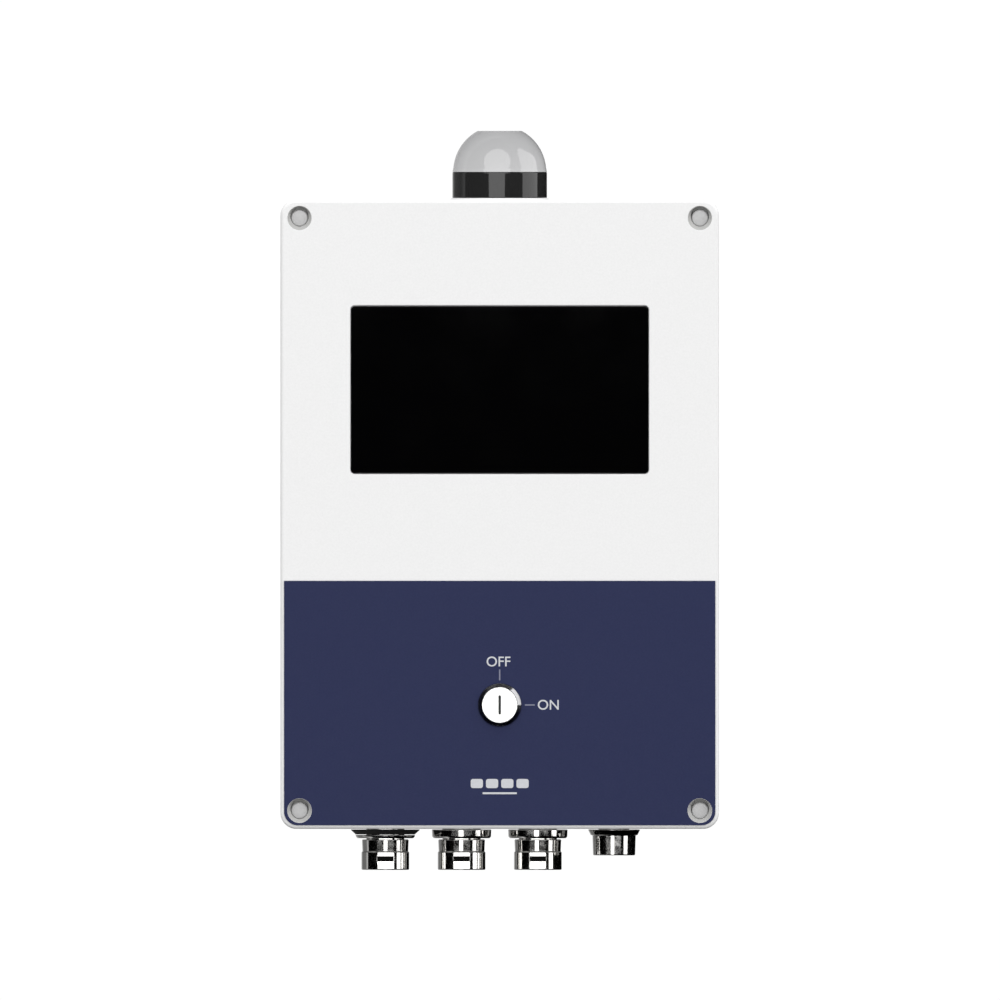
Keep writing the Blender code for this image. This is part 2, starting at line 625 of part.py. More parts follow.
def build_key():
    """Lengths run back from the bezel's front; the rotor turns on an axis along Y."""
    front = OVERLAY_FRONT - GAP - KEY_BEZEL_HEIGHT
    at = (0, front, KEY_Z)
    bezel_back = -KEY_BEZEL_HEIGHT
    end = front - KEY_BARREL_END
    seat = bezel_back + 0.5 * MM
    turned("key_housing",
           [(KEY_DISC + GAP, 0), (KEY_BEZEL - KEY_BEZEL_SLOPE, 0), (KEY_BEZEL, -KEY_BEZEL_SLOPE),
            (KEY_BEZEL, bezel_back), (KEY_BARREL, bezel_back), (KEY_BARREL, end),
            (KEY_SHAFT + GAP, end), (KEY_SHAFT + GAP, seat), (KEY_DISC + GAP, seat)],
           MATERIALS["black_plastic"], ROUND, "Y", at, ring=True)
    disc_front = -0.2 * MM
    disc_back = disc_front - KEY_DISC_HEIGHT
    neck = end + 1 * MM
    tail = end - GAP - CAM_THICKNESS / 2
    rotor = turned("key_rotor",
                   [(0, disc_front), (KEY_DISC - 0.4 * MM, disc_front), (KEY_DISC, disc_front - 0.4 * MM),
                    (KEY_DISC, disc_back), (KEY_SHAFT, disc_back), (KEY_SHAFT, neck), (CAM_NECK, neck),
                    (CAM_NECK, tail), (0, tail)],
                   MATERIALS["nickel"], ROUND, "Y", at)
    cam_front = KEY_BARREL_END + GAP
    cam = flat_outline("key_cam", cam_outline(), CAM_THICKNESS, None, (math.radians(90), 0, 0),
                       (0, cam_front + CAM_THICKNESS / 2, KEY_Z))
    join(rotor, cam)
    width, depth, height = KEY_SLOT
    cut(rotor, box("key_slot", (-width / 2, width / 2), (front - 1 * MM, front + depth),
                   (KEY_Z - height / 2, KEY_Z + height / 2)))
    nut_front = LID_INSIDE + GAP
    nut = hexagon("key_nut", 25 * MM, 4 * MM, MATERIALS["zinc_steel"], (0, nut_front + 2 * MM, KEY_Z), "Y")
    cut(nut, cylinder("key_nut_hole", KEY_BARREL + GAP, 10 * MM, None, MEDIUM, "Y", (0, nut_front, KEY_Z)))
    build_contact_block(cam_front)


def cam_outline():
    """A spiral that lifts the plunger evenly over the key's turn, then falls back."""
    points = []
    high = CAM_LOW + PLUNGER_TRAVEL
    turn = math.degrees(KEY_TURN)
    for step in range(36):
        angle = step * 10.0
        if angle <= turn:
            radius = CAM_LOW + PLUNGER_TRAVEL * angle / turn
        elif angle <= 120:
            radius = high
        elif angle <= 240:
            radius = high - PLUNGER_TRAVEL * (angle - 120) / 120
        else:
            radius = CAM_LOW
        points.append((radius * math.cos(math.radians(angle)), radius * math.sin(math.radians(angle))))
    return points


def build_contact_block(cam_front):
    """The switch housing grips the barrel's end and holds the plunger that the cam pushes."""
    cam_back = cam_front + CAM_THICKNESS
    cam_middle = (cam_front + cam_back) / 2
    block_end = 34 * MM
    block = box("contact_block", (-13 * MM, block_end), (KEY_BARREL_END - 8 * MM, cam_back + 1 * MM),
                (KEY_Z - 13 * MM, KEY_Z + 13 * MM), MATERIALS["black_plastic"])
    cut(block, cylinder("block_barrel_hole", KEY_BARREL + GAP, 30 * MM, None, MEDIUM, "Y",
                        (0, KEY_BARREL_END, KEY_Z)))
    bore_start = 5 * MM
    tip = CAM_LOW + GAP
    bore_end = tip + PLUNGER_LENGTH + PLUNGER_TRAVEL + 1 * MM
    cut(block, cylinder("block_plunger_bore", PLUNGER + GAP, bore_end - bore_start, None, SMALL, "X",
                        ((bore_start + bore_end) / 2, cam_middle, KEY_Z)))
    turned("contact_plunger",
           [(0, PLUNGER_LENGTH), (PLUNGER, PLUNGER_LENGTH), (PLUNGER, 1.6 * MM), (0.4 * MM, 0), (0, 0)],
           MATERIALS["light_plastic"], SMALL, "X", (tip, cam_middle, KEY_Z))


# ---------------------------------------------------------------- beacon

def build_beacon():
    """Heights here are measured from the enclosure's top face."""
    at = (0, BOX_MIDDLE, BOX_TOP)
    base_bottom = 2 * GAP + BEACON_SEAL
    base_top = BEACON_BASE_TOP - BOX_TOP
    crown = BEACON_CROWN - BOX_TOP
    wire_hole = 6 * MM
    turned("beacon_base",
           [(wire_hole, base_top), (BEACON_RADIUS - 0.8 * MM, base_top),
            (BEACON_RADIUS, base_top - 0.8 * MM), (BEACON_RADIUS, base_bottom),
            (BEACON_STUD, base_bottom), (BEACON_STUD, -BEACON_STUD_LENGTH),
            (wire_hole, -BEACON_STUD_LENGTH)],
           MATERIALS["black_plastic"], ROUND, "Z", at, ring=True)
    turned("beacon_gasket",
           [(BEACON_STUD + GAP, GAP + BEACON_SEAL), (BEACON_RADIUS - 0.8 * MM, GAP + BEACON_SEAL),
            (BEACON_RADIUS - 0.8 * MM, GAP), (BEACON_STUD + GAP, GAP)],
           MATERIALS["rubber"], ROUND, "Z", at, ring=True)
    seat = base_top + GAP
    radius = BEACON_RADIUS
    centre = (0, base_top)
    top_angle = math.degrees(math.asin((crown - base_top) / radius))
    lip_angle = math.degrees(math.asin(BEACON_LIP / radius))
    outside = [(0, crown)] + arc(centre, radius, top_angle, lip_angle, 7) + [(radius, seat)]
    inner = radius - DOME_WALL
    inner_top = math.degrees(math.asin((crown - base_top - DOME_WALL) / inner))
    inside = arc(centre, inner, lip_angle, inner_top, 5)
    inside = [(inner, seat)] + inside + [(0, crown - DOME_WALL)]
    turned("beacon_dome", outside + inside, MATERIALS["smoke_plastic"], ROUND, "Z", at)
    board_top = seat + BOARD
    turned("beacon_led_board",
           [(0, board_top), (20 * MM, board_top), (20 * MM, seat), (0, seat)],
           MATERIALS["board_green"], MEDIUM, "Z", at)
    guide_foot = board_top + GAP
    guide = [(0, guide_foot + 13 * MM)] + arc((0, guide_foot + 5 * MM), 8 * MM, 75, 0, 4)
    turned("beacon_light_guide", guide + [(8 * MM, guide_foot), (0, guide_foot)],
           MATERIALS["light_plastic"], MEDIUM, "Z", at)
    nut_z = BOX_TOP - WALL - GAP - 2 * MM
    nut = hexagon("beacon_nut", 28 * MM, 4 * MM, MATERIALS["zinc_steel"], (0, BOX_MIDDLE, nut_z))
    cut(nut, cylinder("beacon_nut_hole", BEACON_STUD + GAP, 10 * MM, None, MEDIUM, "Z",
                      (0, BOX_MIDDLE, nut_z)))


# ---------------------------------------------------------------- connectors

def connector_x(index):
    return (index - 1.5) * CONNECTOR_PITCH


def flange(name, radius, slope, top, bottom, at):
    """A round nickel flange against the enclosure, drawn in by a slope towards its lower edge."""
    low_radius = radius - slope
    return turned(name,
                  [(0, top), (radius, top), (radius, top - 1 * MM), (low_radius, bottom + 0.4 * MM),
                   (low_radius - 0.4 * MM, bottom), (0, bottom)],
                  MATERIALS["nickel"], ROUND, "Z", at)


def build_connector_seal(name, at):
    """A tapered rubber collar between the enclosure and the first connector."""
    turned(name,
           [(POWER_CORE + GAP, -GAP), (SEAL_TOP_RADIUS, -GAP), (SEAL_TOP_RADIUS, -2 * GAP),
            (SEAL_LOW_RADIUS, GAP - SEAL_HEIGHT), (SEAL_LOW_RADIUS, -SEAL_HEIGHT),
            (POWER_CORE + GAP, -SEAL_HEIGHT)],
           MATERIALS["rubber"], ROUND, "Z", at, ring=True)


def build_power_connector(index):
    """Heights are measured down from the enclosure's bottom face."""
    number = "power_connector_%d" % (index + 1)
    x = connector_x(index)
    at = (x, BOX_MIDDLE, BOX_BOTTOM)
    collar_top = -GAP
    if index == 0:
        build_connector_seal(number + "_seal", at)
        collar_top = -SEAL_HEIGHT - GAP
    ring_top = -POWER_COLLAR - 0.6 * MM
    ring_bottom = -POWER_LENGTH
    rib_top = ring_top - 4 * MM
    rib = 1 * MM
    shell = flange(number + "_shell", POWER_FLANGE, 0.5 * MM, collar_top, -POWER_COLLAR, at)
    core_end = ring_bottom + 0.4 * MM
    core = turned(number + "_core",
                  [(0, POWER_THREAD), (POWER_CORE, POWER_THREAD),
                   (POWER_CORE, rib_top + GAP), (POWER_CORE - 0.8 * MM, rib_top + GAP),
                   (POWER_CORE - 0.8 * MM, rib_top - rib - GAP), (POWER_CORE, rib_top - rib - GAP),
                   (POWER_CORE, core_end), (0, core_end)],
                  None, ROUND, "Z", at)
    join(shell, core)
    cut(shell, cylinder(number + "_bore", POWER_BORE, 80 * MM, None, ROUND, "Z", at))
    inside = POWER_CORE + GAP
    step = -12.3 * MM
    ring = turned(number + "_ring",
                  [(inside, ring_top), (POWER_RING - 0.8 * MM, ring_top),
                   (POWER_RING - 0.25 * MM, ring_top - 0.6 * MM), (POWER_RING - 0.25 * MM, step + 0.3 * MM),
                   (POWER_RING, step), (POWER_RING, ring_bottom + 0.4 * MM),
                   (POWER_RING - 0.4 * MM, ring_bottom), (inside, ring_bottom),
                   (inside, rib_top - rib), (inside - 0.6 * MM, rib_top - rib),
                   (inside - 0.6 * MM, rib_top), (inside, rib_top)],
                  MATERIALS["nickel"], ROUND, "Z", at, ring=True)
    width, height = WINDOW_SLOT
    cut(ring, box(number + "_window", (x - width / 2, x + width / 2),
                  (BOX_MIDDLE - POWER_RING - 1 * MM, BOX_MIDDLE - POWER_CORE + 3 * MM),
                  (BOX_BOTTOM - WINDOW_SLOT_DEPTH - height / 2, BOX_BOTTOM - WINDOW_SLOT_DEPTH + height / 2)))
    insert_radius = POWER_BORE - GAP
    insert_face = -9 * MM
    insert_top = 12 * MM
    insert = turned(number + "_insert",
                    [(0, insert_top), (insert_radius, insert_top), (insert_radius, insert_face),
                     (0, insert_face)],
                    MATERIALS["black_plastic"], MEDIUM, "Z", at)
    add_pins(insert, number, at, 4, 4.6 * MM, 1.2 * MM, insert_face - 6 * MM, insert_top + 3 * MM)
    panel_nut(number + "_nut", 27 * MM, POWER_CORE, x)


def add_pins(insert, name, at, count, spread, radius, low, high):
    for pin in range(count):
        angle = math.radians(45 + 360 * pin / count)
        place = (at[0] + spread * math.cos(angle), at[1] + spread * math.sin(angle),
                 at[2] + (low + high) / 2)
        join(insert, cylinder("%s_pin_%d" % (name, pin + 1), radius, high - low, None, 8, "Z", place))


def panel_nut(name, flats, thread, x):
    """A hexagonal nut on the inner side of the bottom wall."""
    middle = BOX_BOTTOM + WALL + GAP + 2 * MM
    nut = hexagon(name, flats, 4 * MM, MATERIALS["zinc_steel"], (x, BOX_MIDDLE, middle))
    cut(nut, cylinder(name + "_hole", thread + GAP, 10 * MM, None, MEDIUM, "Z", (x, BOX_MIDDLE, middle)))


def build_signal_connector(index):
    x = connector_x(index)
    at = (x, BOX_MIDDLE, BOX_BOTTOM)
    shell = flange("signal_connector_shell", SIGNAL_FLANGE, 1.4 * MM, -GAP, -SIGNAL_COLLAR, at)
    thread_top = 13 * MM
    narrow = SIGNAL_THREAD - 1.2 * MM
    low = -SIGNAL_LENGTH
    body = turned("signal_connector_body",
                  [(0, thread_top), (SIGNAL_THREAD, thread_top), (SIGNAL_THREAD, -1.5 * MM),
                   (SIGNAL_BODY, -1.5 * MM), (SIGNAL_BODY, low + 0.5 * MM), (SIGNAL_BODY - 0.5 * MM, low),
                   (0, low)],
                  None, ROUND, "Z", at)
    join(shell, body)
    cut(shell, cylinder("signal_connector_bore", narrow, 80 * MM, None, MEDIUM, "Z", at))
    socket_top = -4 * MM
    cut(shell, turned("signal_connector_socket",
                      [(0, socket_top), (SIGNAL_BORE, socket_top), (SIGNAL_BORE, low - 5 * MM),
                       (0, low - 5 * MM)],
                      None, MEDIUM, "Z", at))
    insert_radius = narrow - GAP
    insert = turned("signal_connector_insert",
                    [(0, 11 * MM), (insert_radius, 11 * MM), (insert_radius, -4.5 * MM), (0, -4.5 * MM)],
                    MATERIALS["black_plastic"], MEDIUM, "Z", at)
    add_pins(insert, "signal_connector", at, 5, 3.8 * MM, 0.7 * MM, -8 * MM, 14 * MM)
    panel_nut("signal_connector_nut", 22 * MM, SIGNAL_THREAD, x)


# ---------------------------------------------------------------- electronics in the base

def build_electronics():
    box("power_board", (-BOARD_HALF_WIDTH, BOARD_HALF_WIDTH), (POWER_BOARD_FRONT, POWER_BOARD_BACK),
        BOARD_ENDS, MATERIALS["board_green"])
    box("power_module", (-30 * MM, 30 * MM), (POWER_BOARD_BACK + GAP, BASE_FLOOR - GAP),
        (-45 * MM, 15 * MM), MATERIALS["black_plastic"])
    for index in range(LINK_CAPACITORS):
        capacitor(index)
    for name, x, radius, height in (("boost_inductor_1", -62 * MM, 26 * MM, 24 * MM),
                                    ("boost_inductor_2", 0.0, 26 * MM, 24 * MM),
                                    ("output_choke", 63 * MM, 30 * MM, 30 * MM)):
        inductor(name, x, radius, height)
    for name, x in (("grid_relay_1", 20 * MM), ("grid_relay_2", 62 * MM)):
        box(name, (x - RELAY_HALF_WIDTH, x + RELAY_HALF_WIDTH), (PART_BACK - RELAY_HEIGHT, PART_BACK),
            RELAY_ENDS, MATERIALS["relay_plastic"])
    terminal_block("input_terminal_block", -50 * MM)
    terminal_block("output_terminal_block", 40 * MM)
    build_cables()
    build_ribbon()


def capacitor(index):
    """A snap-in capacitor standing on the power board."""
    height = CAPACITOR_HEIGHT
    radius = CAPACITOR_RADIUS
    x = (index - (LINK_CAPACITORS - 1) / 2) * CAPACITOR_PITCH
    turned("link_capacitor_%d" % (index + 1),
           [(0, height - 0.6 * MM), (radius - 2 * MM, height - 0.6 * MM), (radius - 1.4 * MM, height),
            (radius, height - 1 * MM), (radius, 0), (0, 0)],
           MATERIALS["capacitor_sleeve"], MEDIUM, "Y", (x, PART_BACK, CAPACITOR_Z))


def inductor(name, x, radius, height):
    """A wound ring core in its outer shape, lying on the power board."""
    hole = radius * 0.34
    soft = 5 * MM
    profile = [(hole, height - soft), (hole + soft, height), (radius - soft, height), (radius, height - soft),
               (radius, soft), (radius - soft, 0), (hole + soft, 0), (hole, soft)]
    turned(name, profile, MATERIALS["copper"], MEDIUM, "Y", (x, PART_BACK, INDUCTOR_Z), ring=True)


def terminal_block(name, x):
    """Screw terminals with wire entries on their lower side."""
    low, high = TERMINAL_ENDS
    half = TERMINAL_WIDTH / 2
    block = box(name, (x - half, x + half), (PART_BACK - TERMINAL_HEIGHT, PART_BACK), (low, high),
                MATERIALS["light_plastic"])
    for index in range(TERMINAL_WAYS):
        place = x + (index - (TERMINAL_WAYS - 1) / 2) * TERMINAL_WIDTH / TERMINAL_WAYS
        cut(block, box("%s_entry_%d" % (name, index + 1), (place - 5 * MM, place + 5 * MM),
                       (PART_BACK - 15 * MM, PART_BACK - 5 * MM), (low - 5 * MM, low + 10 * MM)))


def build_cables():
    """One sheathed cable from each power connector to its terminals, in a smooth double bend."""
    steps = 8
    end_y = PART_BACK - TERMINAL_HEIGHT / 2
    ends = ((0, "input_cable_1", -69 * MM), (1, "input_cable_2", -35 * MM), (2, "output_cable", 20 * MM))
    for index, name, end_x in ends:
        start = Vector((connector_x(index), BOX_MIDDLE, CABLE_START))
        run = Vector((end_x, end_y, CABLE_END)) - start
        points = []
        for step in range(steps + 1):
            part = step / steps
            ease = part * part * (3 - 2 * part)
            points.append((start.x + run.x * ease, start.y + run.y * ease, start.z + run.z * part))
        tube(name, points, CABLE, MATERIALS["wire_grey"])


def build_ribbon():
    """A flat cable from the power board to the control board, folded once."""
    back = PART_BACK - 0.5 * MM
    front = DISPLAY_BOARD_FRONT + BOARD + GAP
    thickness = RIBBON_THICKNESS
    z = RIBBON_Z
    top = z + RIBBON_STEP
    outline = [(back, z), (back, top), (front, top), (front, top - thickness),
               (back - thickness, top - thickness), (back - thickness, z)]
    flat_outline("control_ribbon", outline, RIBBON_WIDTH, MATERIALS["wire_grey"],
                 (math.radians(90), 0, math.radians(90)), (RIBBON_X, 0, 0))


start_scene()
MATERIALS = make_materials()
build_bracket(MATERIALS["zinc_steel"])
build_heat_sink(MATERIALS["aluminium"])
build_base(MATERIALS["powder_coat"])
build_seal(MATERIALS["rubber"])
build_lid(MATERIALS["powder_coat"])
build_lid_screws(MATERIALS["zinc_steel"])
build_overlay(MATERIALS["overlay_blue"])
build_display()
build_key()
build_beacon()
for connector in range(3):
    build_power_connector(connector)
build_signal_connector(3)
build_electronics()
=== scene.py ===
"""The looks of the wall-mounted string inverter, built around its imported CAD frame."""
import json
import math

import bmesh
import bpy
from mathutils import Matrix, Vector


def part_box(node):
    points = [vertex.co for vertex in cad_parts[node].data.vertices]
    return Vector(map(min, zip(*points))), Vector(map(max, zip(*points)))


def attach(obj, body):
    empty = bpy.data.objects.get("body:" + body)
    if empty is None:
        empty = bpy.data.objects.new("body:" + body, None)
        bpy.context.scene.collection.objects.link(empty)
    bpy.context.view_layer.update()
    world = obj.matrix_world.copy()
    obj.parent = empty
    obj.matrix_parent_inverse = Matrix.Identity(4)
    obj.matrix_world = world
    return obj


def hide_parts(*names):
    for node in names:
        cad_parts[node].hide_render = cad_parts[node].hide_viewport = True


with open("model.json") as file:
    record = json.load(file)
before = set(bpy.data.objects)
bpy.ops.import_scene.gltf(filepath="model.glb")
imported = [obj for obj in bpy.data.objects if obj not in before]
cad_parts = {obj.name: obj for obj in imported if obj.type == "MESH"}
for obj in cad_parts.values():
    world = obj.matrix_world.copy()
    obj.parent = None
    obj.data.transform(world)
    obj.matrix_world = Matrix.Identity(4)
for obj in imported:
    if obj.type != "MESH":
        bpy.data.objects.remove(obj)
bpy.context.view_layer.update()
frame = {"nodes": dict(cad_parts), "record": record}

MM = 0.001
NODES = frame["nodes"]
SLOT_OF = {part["node"]: part["material_slot"] for part in frame["record"]["subparts"]}
SMOOTH_ANGLE = 32

# The world's light: an even part, and what each direction adds to it.
LIGHT_EVEN = 0.75
LIGHT_ABOVE = 0.95
LIGHT_FRONT = 0.48
LIGHT_RIGHT = 0.12
# What the camera sees behind the object, and the grey of the room that reflections see, front to back.
BACKDROP = 1.02
ROOM_WALL = ((0.52, 0.0), (0.55, 0.60), (0.66, 0.16), (0.90, 0.16), (1.0, 0.6))
FLOOR_HEIGHT = -0.62
IMAGE_WIDTH = 0.5245
CAMERA_PLACE = (0.00016, -3.0, 0.0075)


# ---------------------------------------------------------------- node helpers

def new_material(name, colour, roughness, metallic=0.0):
    """A material with a Principled shader, and its constants on the shader's own sockets."""
    made = bpy.data.materials.new(name)
    made.use_nodes = True
    shader = made.node_tree.nodes["Principled BSDF"]
    shader.inputs["Base Color"].default_value = (*colour, 1.0)
    shader.inputs["Roughness"].default_value = roughness
    shader.inputs["Metallic"].default_value = metallic
    return made


def shader_of(material):
    return material.node_tree.nodes["Principled BSDF"]


def add_node(material, kind, **values):
    node = material.node_tree.nodes.new(kind)
    for name, value in values.items():
        setattr(node, name, value)
    return node


def link(material, start, end):
    material.node_tree.links.new(start, end)


def coordinates(material, stretch=(1.0, 1.0, 1.0)):
    """Object coordinates in metres, stretched along the axes."""
    where = add_node(material, "ShaderNodeTexCoord")
    mapping = add_node(material, "ShaderNodeMapping")
    mapping.inputs["Scale"].default_value = stretch
    link(material, where.outputs["Object"], mapping.inputs["Vector"])
    return mapping.outputs["Vector"]


def noise(material, grain, detail=3.0, stretch=(1.0, 1.0, 1.0)):
    """Noise whose features are about `grain` metres across."""
    node = add_node(material, "ShaderNodeTexNoise")
    node.inputs["Scale"].default_value = 1.0 / grain
    node.inputs["Detail"].default_value = detail
    link(material, coordinates(material, stretch), node.inputs["Vector"])
    return node.outputs["Fac"]


def ramp(material, source, low, high, start=0.3, end=0.7):
    """Maps a value to a range of greys, or to a colour between two colours."""
    node = add_node(material, "ShaderNodeValToRGB")
    ends = [value if isinstance(value, tuple) else (value, value, value) for value in (low, high)]
    node.color_ramp.elements[0].position = start
    node.color_ramp.elements[1].position = end
    node.color_ramp.elements[0].color = (*ends[0], 1.0)
    node.color_ramp.elements[1].color = (*ends[1], 1.0)
    link(material, source, node.inputs["Fac"])
    return node.outputs["Color"]


def bump(material, height, depth, strength=1.0, below=None):
    """Raises the surface by `depth` metres where the height is 1, on top of another bump."""
    node = add_node(material, "ShaderNodeBump")
    node.inputs["Distance"].default_value = depth
    node.inputs["Strength"].default_value = strength
    link(material, height, node.inputs["Height"])
    if below is not None:
        link(material, below, node.inputs["Normal"])
    return node.outputs["Normal"]


def set_normal(material, normal):
    link(material, normal, shader_of(material).inputs["Normal"])


def vary_colour(material, low, high, grain, detail=3.0, stretch=(1.0, 1.0, 1.0)):
    colour = ramp(material, noise(material, grain, detail, stretch), low, high)
    link(material, colour, shader_of(material).inputs["Base Color"])


def vary_roughness(material, low, high, grain, stretch=(1.0, 1.0, 1.0)):
    grey = ramp(material, noise(material, grain, 4.0, stretch), low, high)
    link(material, grey, shader_of(material).inputs["Roughness"])


# ---------------------------------------------------------------- materials

def powder_coat():
    """Light grey powder coat: a fine orange-peel skin with a barely visible speckle."""
    made = new_material("powder_coat", (0.80, 0.80, 0.80), 0.55)
    vary_colour(made, (0.785, 0.785, 0.785), (0.815, 0.815, 0.815), 1.1 * MM, 2.0)
    vary_roughness(made, 0.50, 0.62, 3 * MM)
    peel = bump(made, noise(made, 1.4 * MM, 1.0), 0.05 * MM, 0.5)
    set_normal(made, bump(made, noise(made, 0.35 * MM, 2.0), 0.02 * MM, 0.5, peel))
    return made


def overlay_blue():
    """Navy printed foil with a fine velvet grain."""
    made = new_material("overlay_blue", (0.0195, 0.0254, 0.0788), 0.5)
    vary_colour(made, (0.0180, 0.0238, 0.0750), (0.0210, 0.0270, 0.0826), 1.0 * MM, 2.0)
    vary_roughness(made, 0.48, 0.60, 4 * MM)
    shader_of(made).inputs["Specular IOR Level"].default_value = 0.10
    set_normal(made, bump(made, noise(made, 0.30 * MM, 2.0), 0.02 * MM, 0.6))
    return made


def legend_white():
    """The print of the legends and marks."""
    made = new_material("legend_white", (0.54, 0.55, 0.58), 0.5)
    vary_colour(made, (0.52, 0.53, 0.56), (0.57, 0.58, 0.61), 0.6 * MM)
    return made


def legend_grey():
    """The print of the leader lines, which are too thin to look white."""
    made = new_material("legend_grey", (0.16, 0.17, 0.25), 0.5)
    vary_colour(made, (0.15, 0.16, 0.24), (0.18, 0.19, 0.27), 0.6 * MM)
    return made


def black_glass():
    """The display's cover glass, printed black behind: a deep black with a faint smear pattern."""
    made = new_material("black_glass", (0.001, 0.001, 0.0012), 0.05)
    shader_of(made).inputs["Specular IOR Level"].default_value = 0.4
    vary_roughness(made, 0.035, 0.075, 22 * MM)
    return made


def black_gloss():
    """Moulded black plastic with a polished face."""
    made = new_material("black_gloss", (0.016, 0.016, 0.016), 0.06)
    vary_roughness(made, 0.04, 0.08, 6 * MM)
    set_normal(made, bump(made, noise(made, 9 * MM, 1.0), 0.02 * MM, 0.25))
    return made


def black_plastic():
    made = new_material("black_plastic", (0.02, 0.02, 0.022), 0.45)
    vary_roughness(made, 0.38, 0.55, 2 * MM)
    set_normal(made, bump(made, noise(made, 0.25 * MM, 2.0), 0.015 * MM, 0.6))
    return made


def black_metal():
    """The key switch's bezel: polished metal plated black."""
    made = new_material("black_metal", (0.42, 0.42, 0.43), 0.12, 1.0)
    vary_roughness(made, 0.09, 0.16, 3 * MM)
    return made


def smoke_dome():
    """Clouded grey polycarbonate with a clear polish, darker towards the crown."""
    made = new_material("smoke_dome", (0.46, 0.46, 0.465), 0.30)
    dome_low, dome_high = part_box("beacon_dome")
    shader = shader_of(made)
    shader.inputs["Specular IOR Level"].default_value = 0.0
    shader.inputs["Coat Weight"].default_value = 1.0
    shader.inputs["Coat Roughness"].default_value = 0.03
    shader.inputs["Coat IOR"].default_value = 1.55
    axes = add_node(made, "ShaderNodeSeparateXYZ")
    link(made, coordinates(made), axes.inputs["Vector"])
    height = add_node(made, "ShaderNodeMapRange")
    height.inputs["From Min"].default_value = dome_low.z
    height.inputs["From Max"].default_value = dome_high.z
    link(made, axes.outputs["Z"], height.inputs["Value"])
    cloud = add_node(made, "ShaderNodeMath", operation="MULTIPLY_ADD")
    cloud.inputs[1].default_value = 0.12
    link(made, noise(made, 14 * MM, 1.0), cloud.inputs[0])
    link(made, height.outputs["Result"], cloud.inputs[2])
    colour = ramp(made, cloud.outputs["Value"], (0.475, 0.475, 0.480), (0.345, 0.345, 0.350), 0.05, 1.05)
    link(made, colour, shader.inputs["Base Color"])
    return made


def bright_nickel():
    """Bright nickel plate on turned brass, with faint turning marks round each connector."""
    made = new_material("bright_nickel", (0.83, 0.82, 0.80), 0.10, 1.0)
    vary_colour(made, (0.80, 0.79, 0.77), (0.86, 0.85, 0.83), 3 * MM)
    vary_roughness(made, 0.07, 0.14, 4 * MM)
    lines = noise(made, 0.35 * MM, 1.0, (0.02, 0.02, 1.0))
    set_normal(made, bump(made, lines, 0.002 * MM, 0.2))
    return made


def satin_nickel():
    """The key rotor: satin nickel plate with a slightly uneven polish."""
    made = new_material("satin_nickel", (0.90, 0.90, 0.89), 0.22, 1.0)
    vary_roughness(made, 0.18, 0.27, 2 * MM)
    return made


def zinc_steel():
    """Zinc-plated folded sheet: cloudy grey with a soft sheen."""
    made = new_material("zinc_steel", (0.50, 0.50, 0.51), 0.38, 0.45)
    vary_colour(made, (0.46, 0.46, 0.475), (0.54, 0.54, 0.55), 9 * MM, 4.0)
    vary_roughness(made, 0.30, 0.46, 5 * MM)
    set_normal(made, bump(made, noise(made, 0.8 * MM, 2.0), 0.006 * MM, 0.2))
    return made


def screw_steel():
    """The lid screws' dull grey caps."""
    made = new_material("screw_steel", (0.47, 0.47, 0.47), 0.5, 0.1)
    vary_colour(made, (0.45, 0.45, 0.45), (0.50, 0.50, 0.50), 1.5 * MM)
    set_normal(made, bump(made, noise(made, 0.3 * MM, 2.0), 0.01 * MM, 0.5))
    return made


def aluminium():
    """Extruded aluminium with die lines along its length."""
    made = new_material("aluminium", (0.62, 0.63, 0.64), 0.38, 0.5)
    vary_colour(made, (0.58, 0.59, 0.60), (0.66, 0.67, 0.68), 2 * MM, 3.0, (1.0, 1.0, 0.01))
    vary_roughness(made, 0.32, 0.46, 3 * MM, (1.0, 1.0, 0.02))
    die_lines = noise(made, 0.5 * MM, 2.0, (1.0, 1.0, 0.004))
    set_normal(made, bump(made, die_lines, 0.02 * MM, 0.5))
    return made


def rubber():
    made = new_material("rubber", (0.012, 0.012, 0.012), 0.6)
    vary_roughness(made, 0.52, 0.70, 1.5 * MM)
    set_normal(made, bump(made, noise(made, 0.4 * MM, 2.0), 0.02 * MM, 0.6))
    return made


def circuit_board():
    """Green solder resist over copper tracks."""
    made = new_material("circuit_board", (0.015, 0.14, 0.06), 0.35)
    tracks = add_node(made, "ShaderNodeTexBrick")
    tracks.inputs["Scale"].default_value = 90.0
    tracks.inputs["Color1"].default_value = (0.010, 0.10, 0.045, 1.0)
    tracks.inputs["Color2"].default_value = (0.018, 0.15, 0.065, 1.0)
    tracks.inputs["Mortar"].default_value = (0.035, 0.24, 0.11, 1.0)
    tracks.inputs["Mortar Size"].default_value = 0.012
    link(made, coordinates(made), tracks.inputs["Vector"])
    link(made, tracks.outputs["Color"], shader_of(made).inputs["Base Color"])
    set_normal(made, bump(made, tracks.outputs["Fac"], 0.03 * MM, 0.5))
    return made


def copper():
    """Enamelled windings: bands of wire around the core."""
    made = new_material("copper", (0.60, 0.26, 0.10), 0.32, 0.9)
    wires = add_node(made, "ShaderNodeTexWave")
    wires.inputs["Scale"].default_value = 260.0
    wires.inputs["Distortion"].default_value = 0.6
    link(made, coordinates(made), wires.inputs["Vector"])
    colour = ramp(made, wires.outputs["Fac"], (0.30, 0.12, 0.05), (0.70, 0.33, 0.14), 0.1, 0.9)
    link(made, colour, shader_of(made).inputs["Base Color"])
    set_normal(made, bump(made, wires.outputs["Fac"], 0.3 * MM, 0.7))
    return made


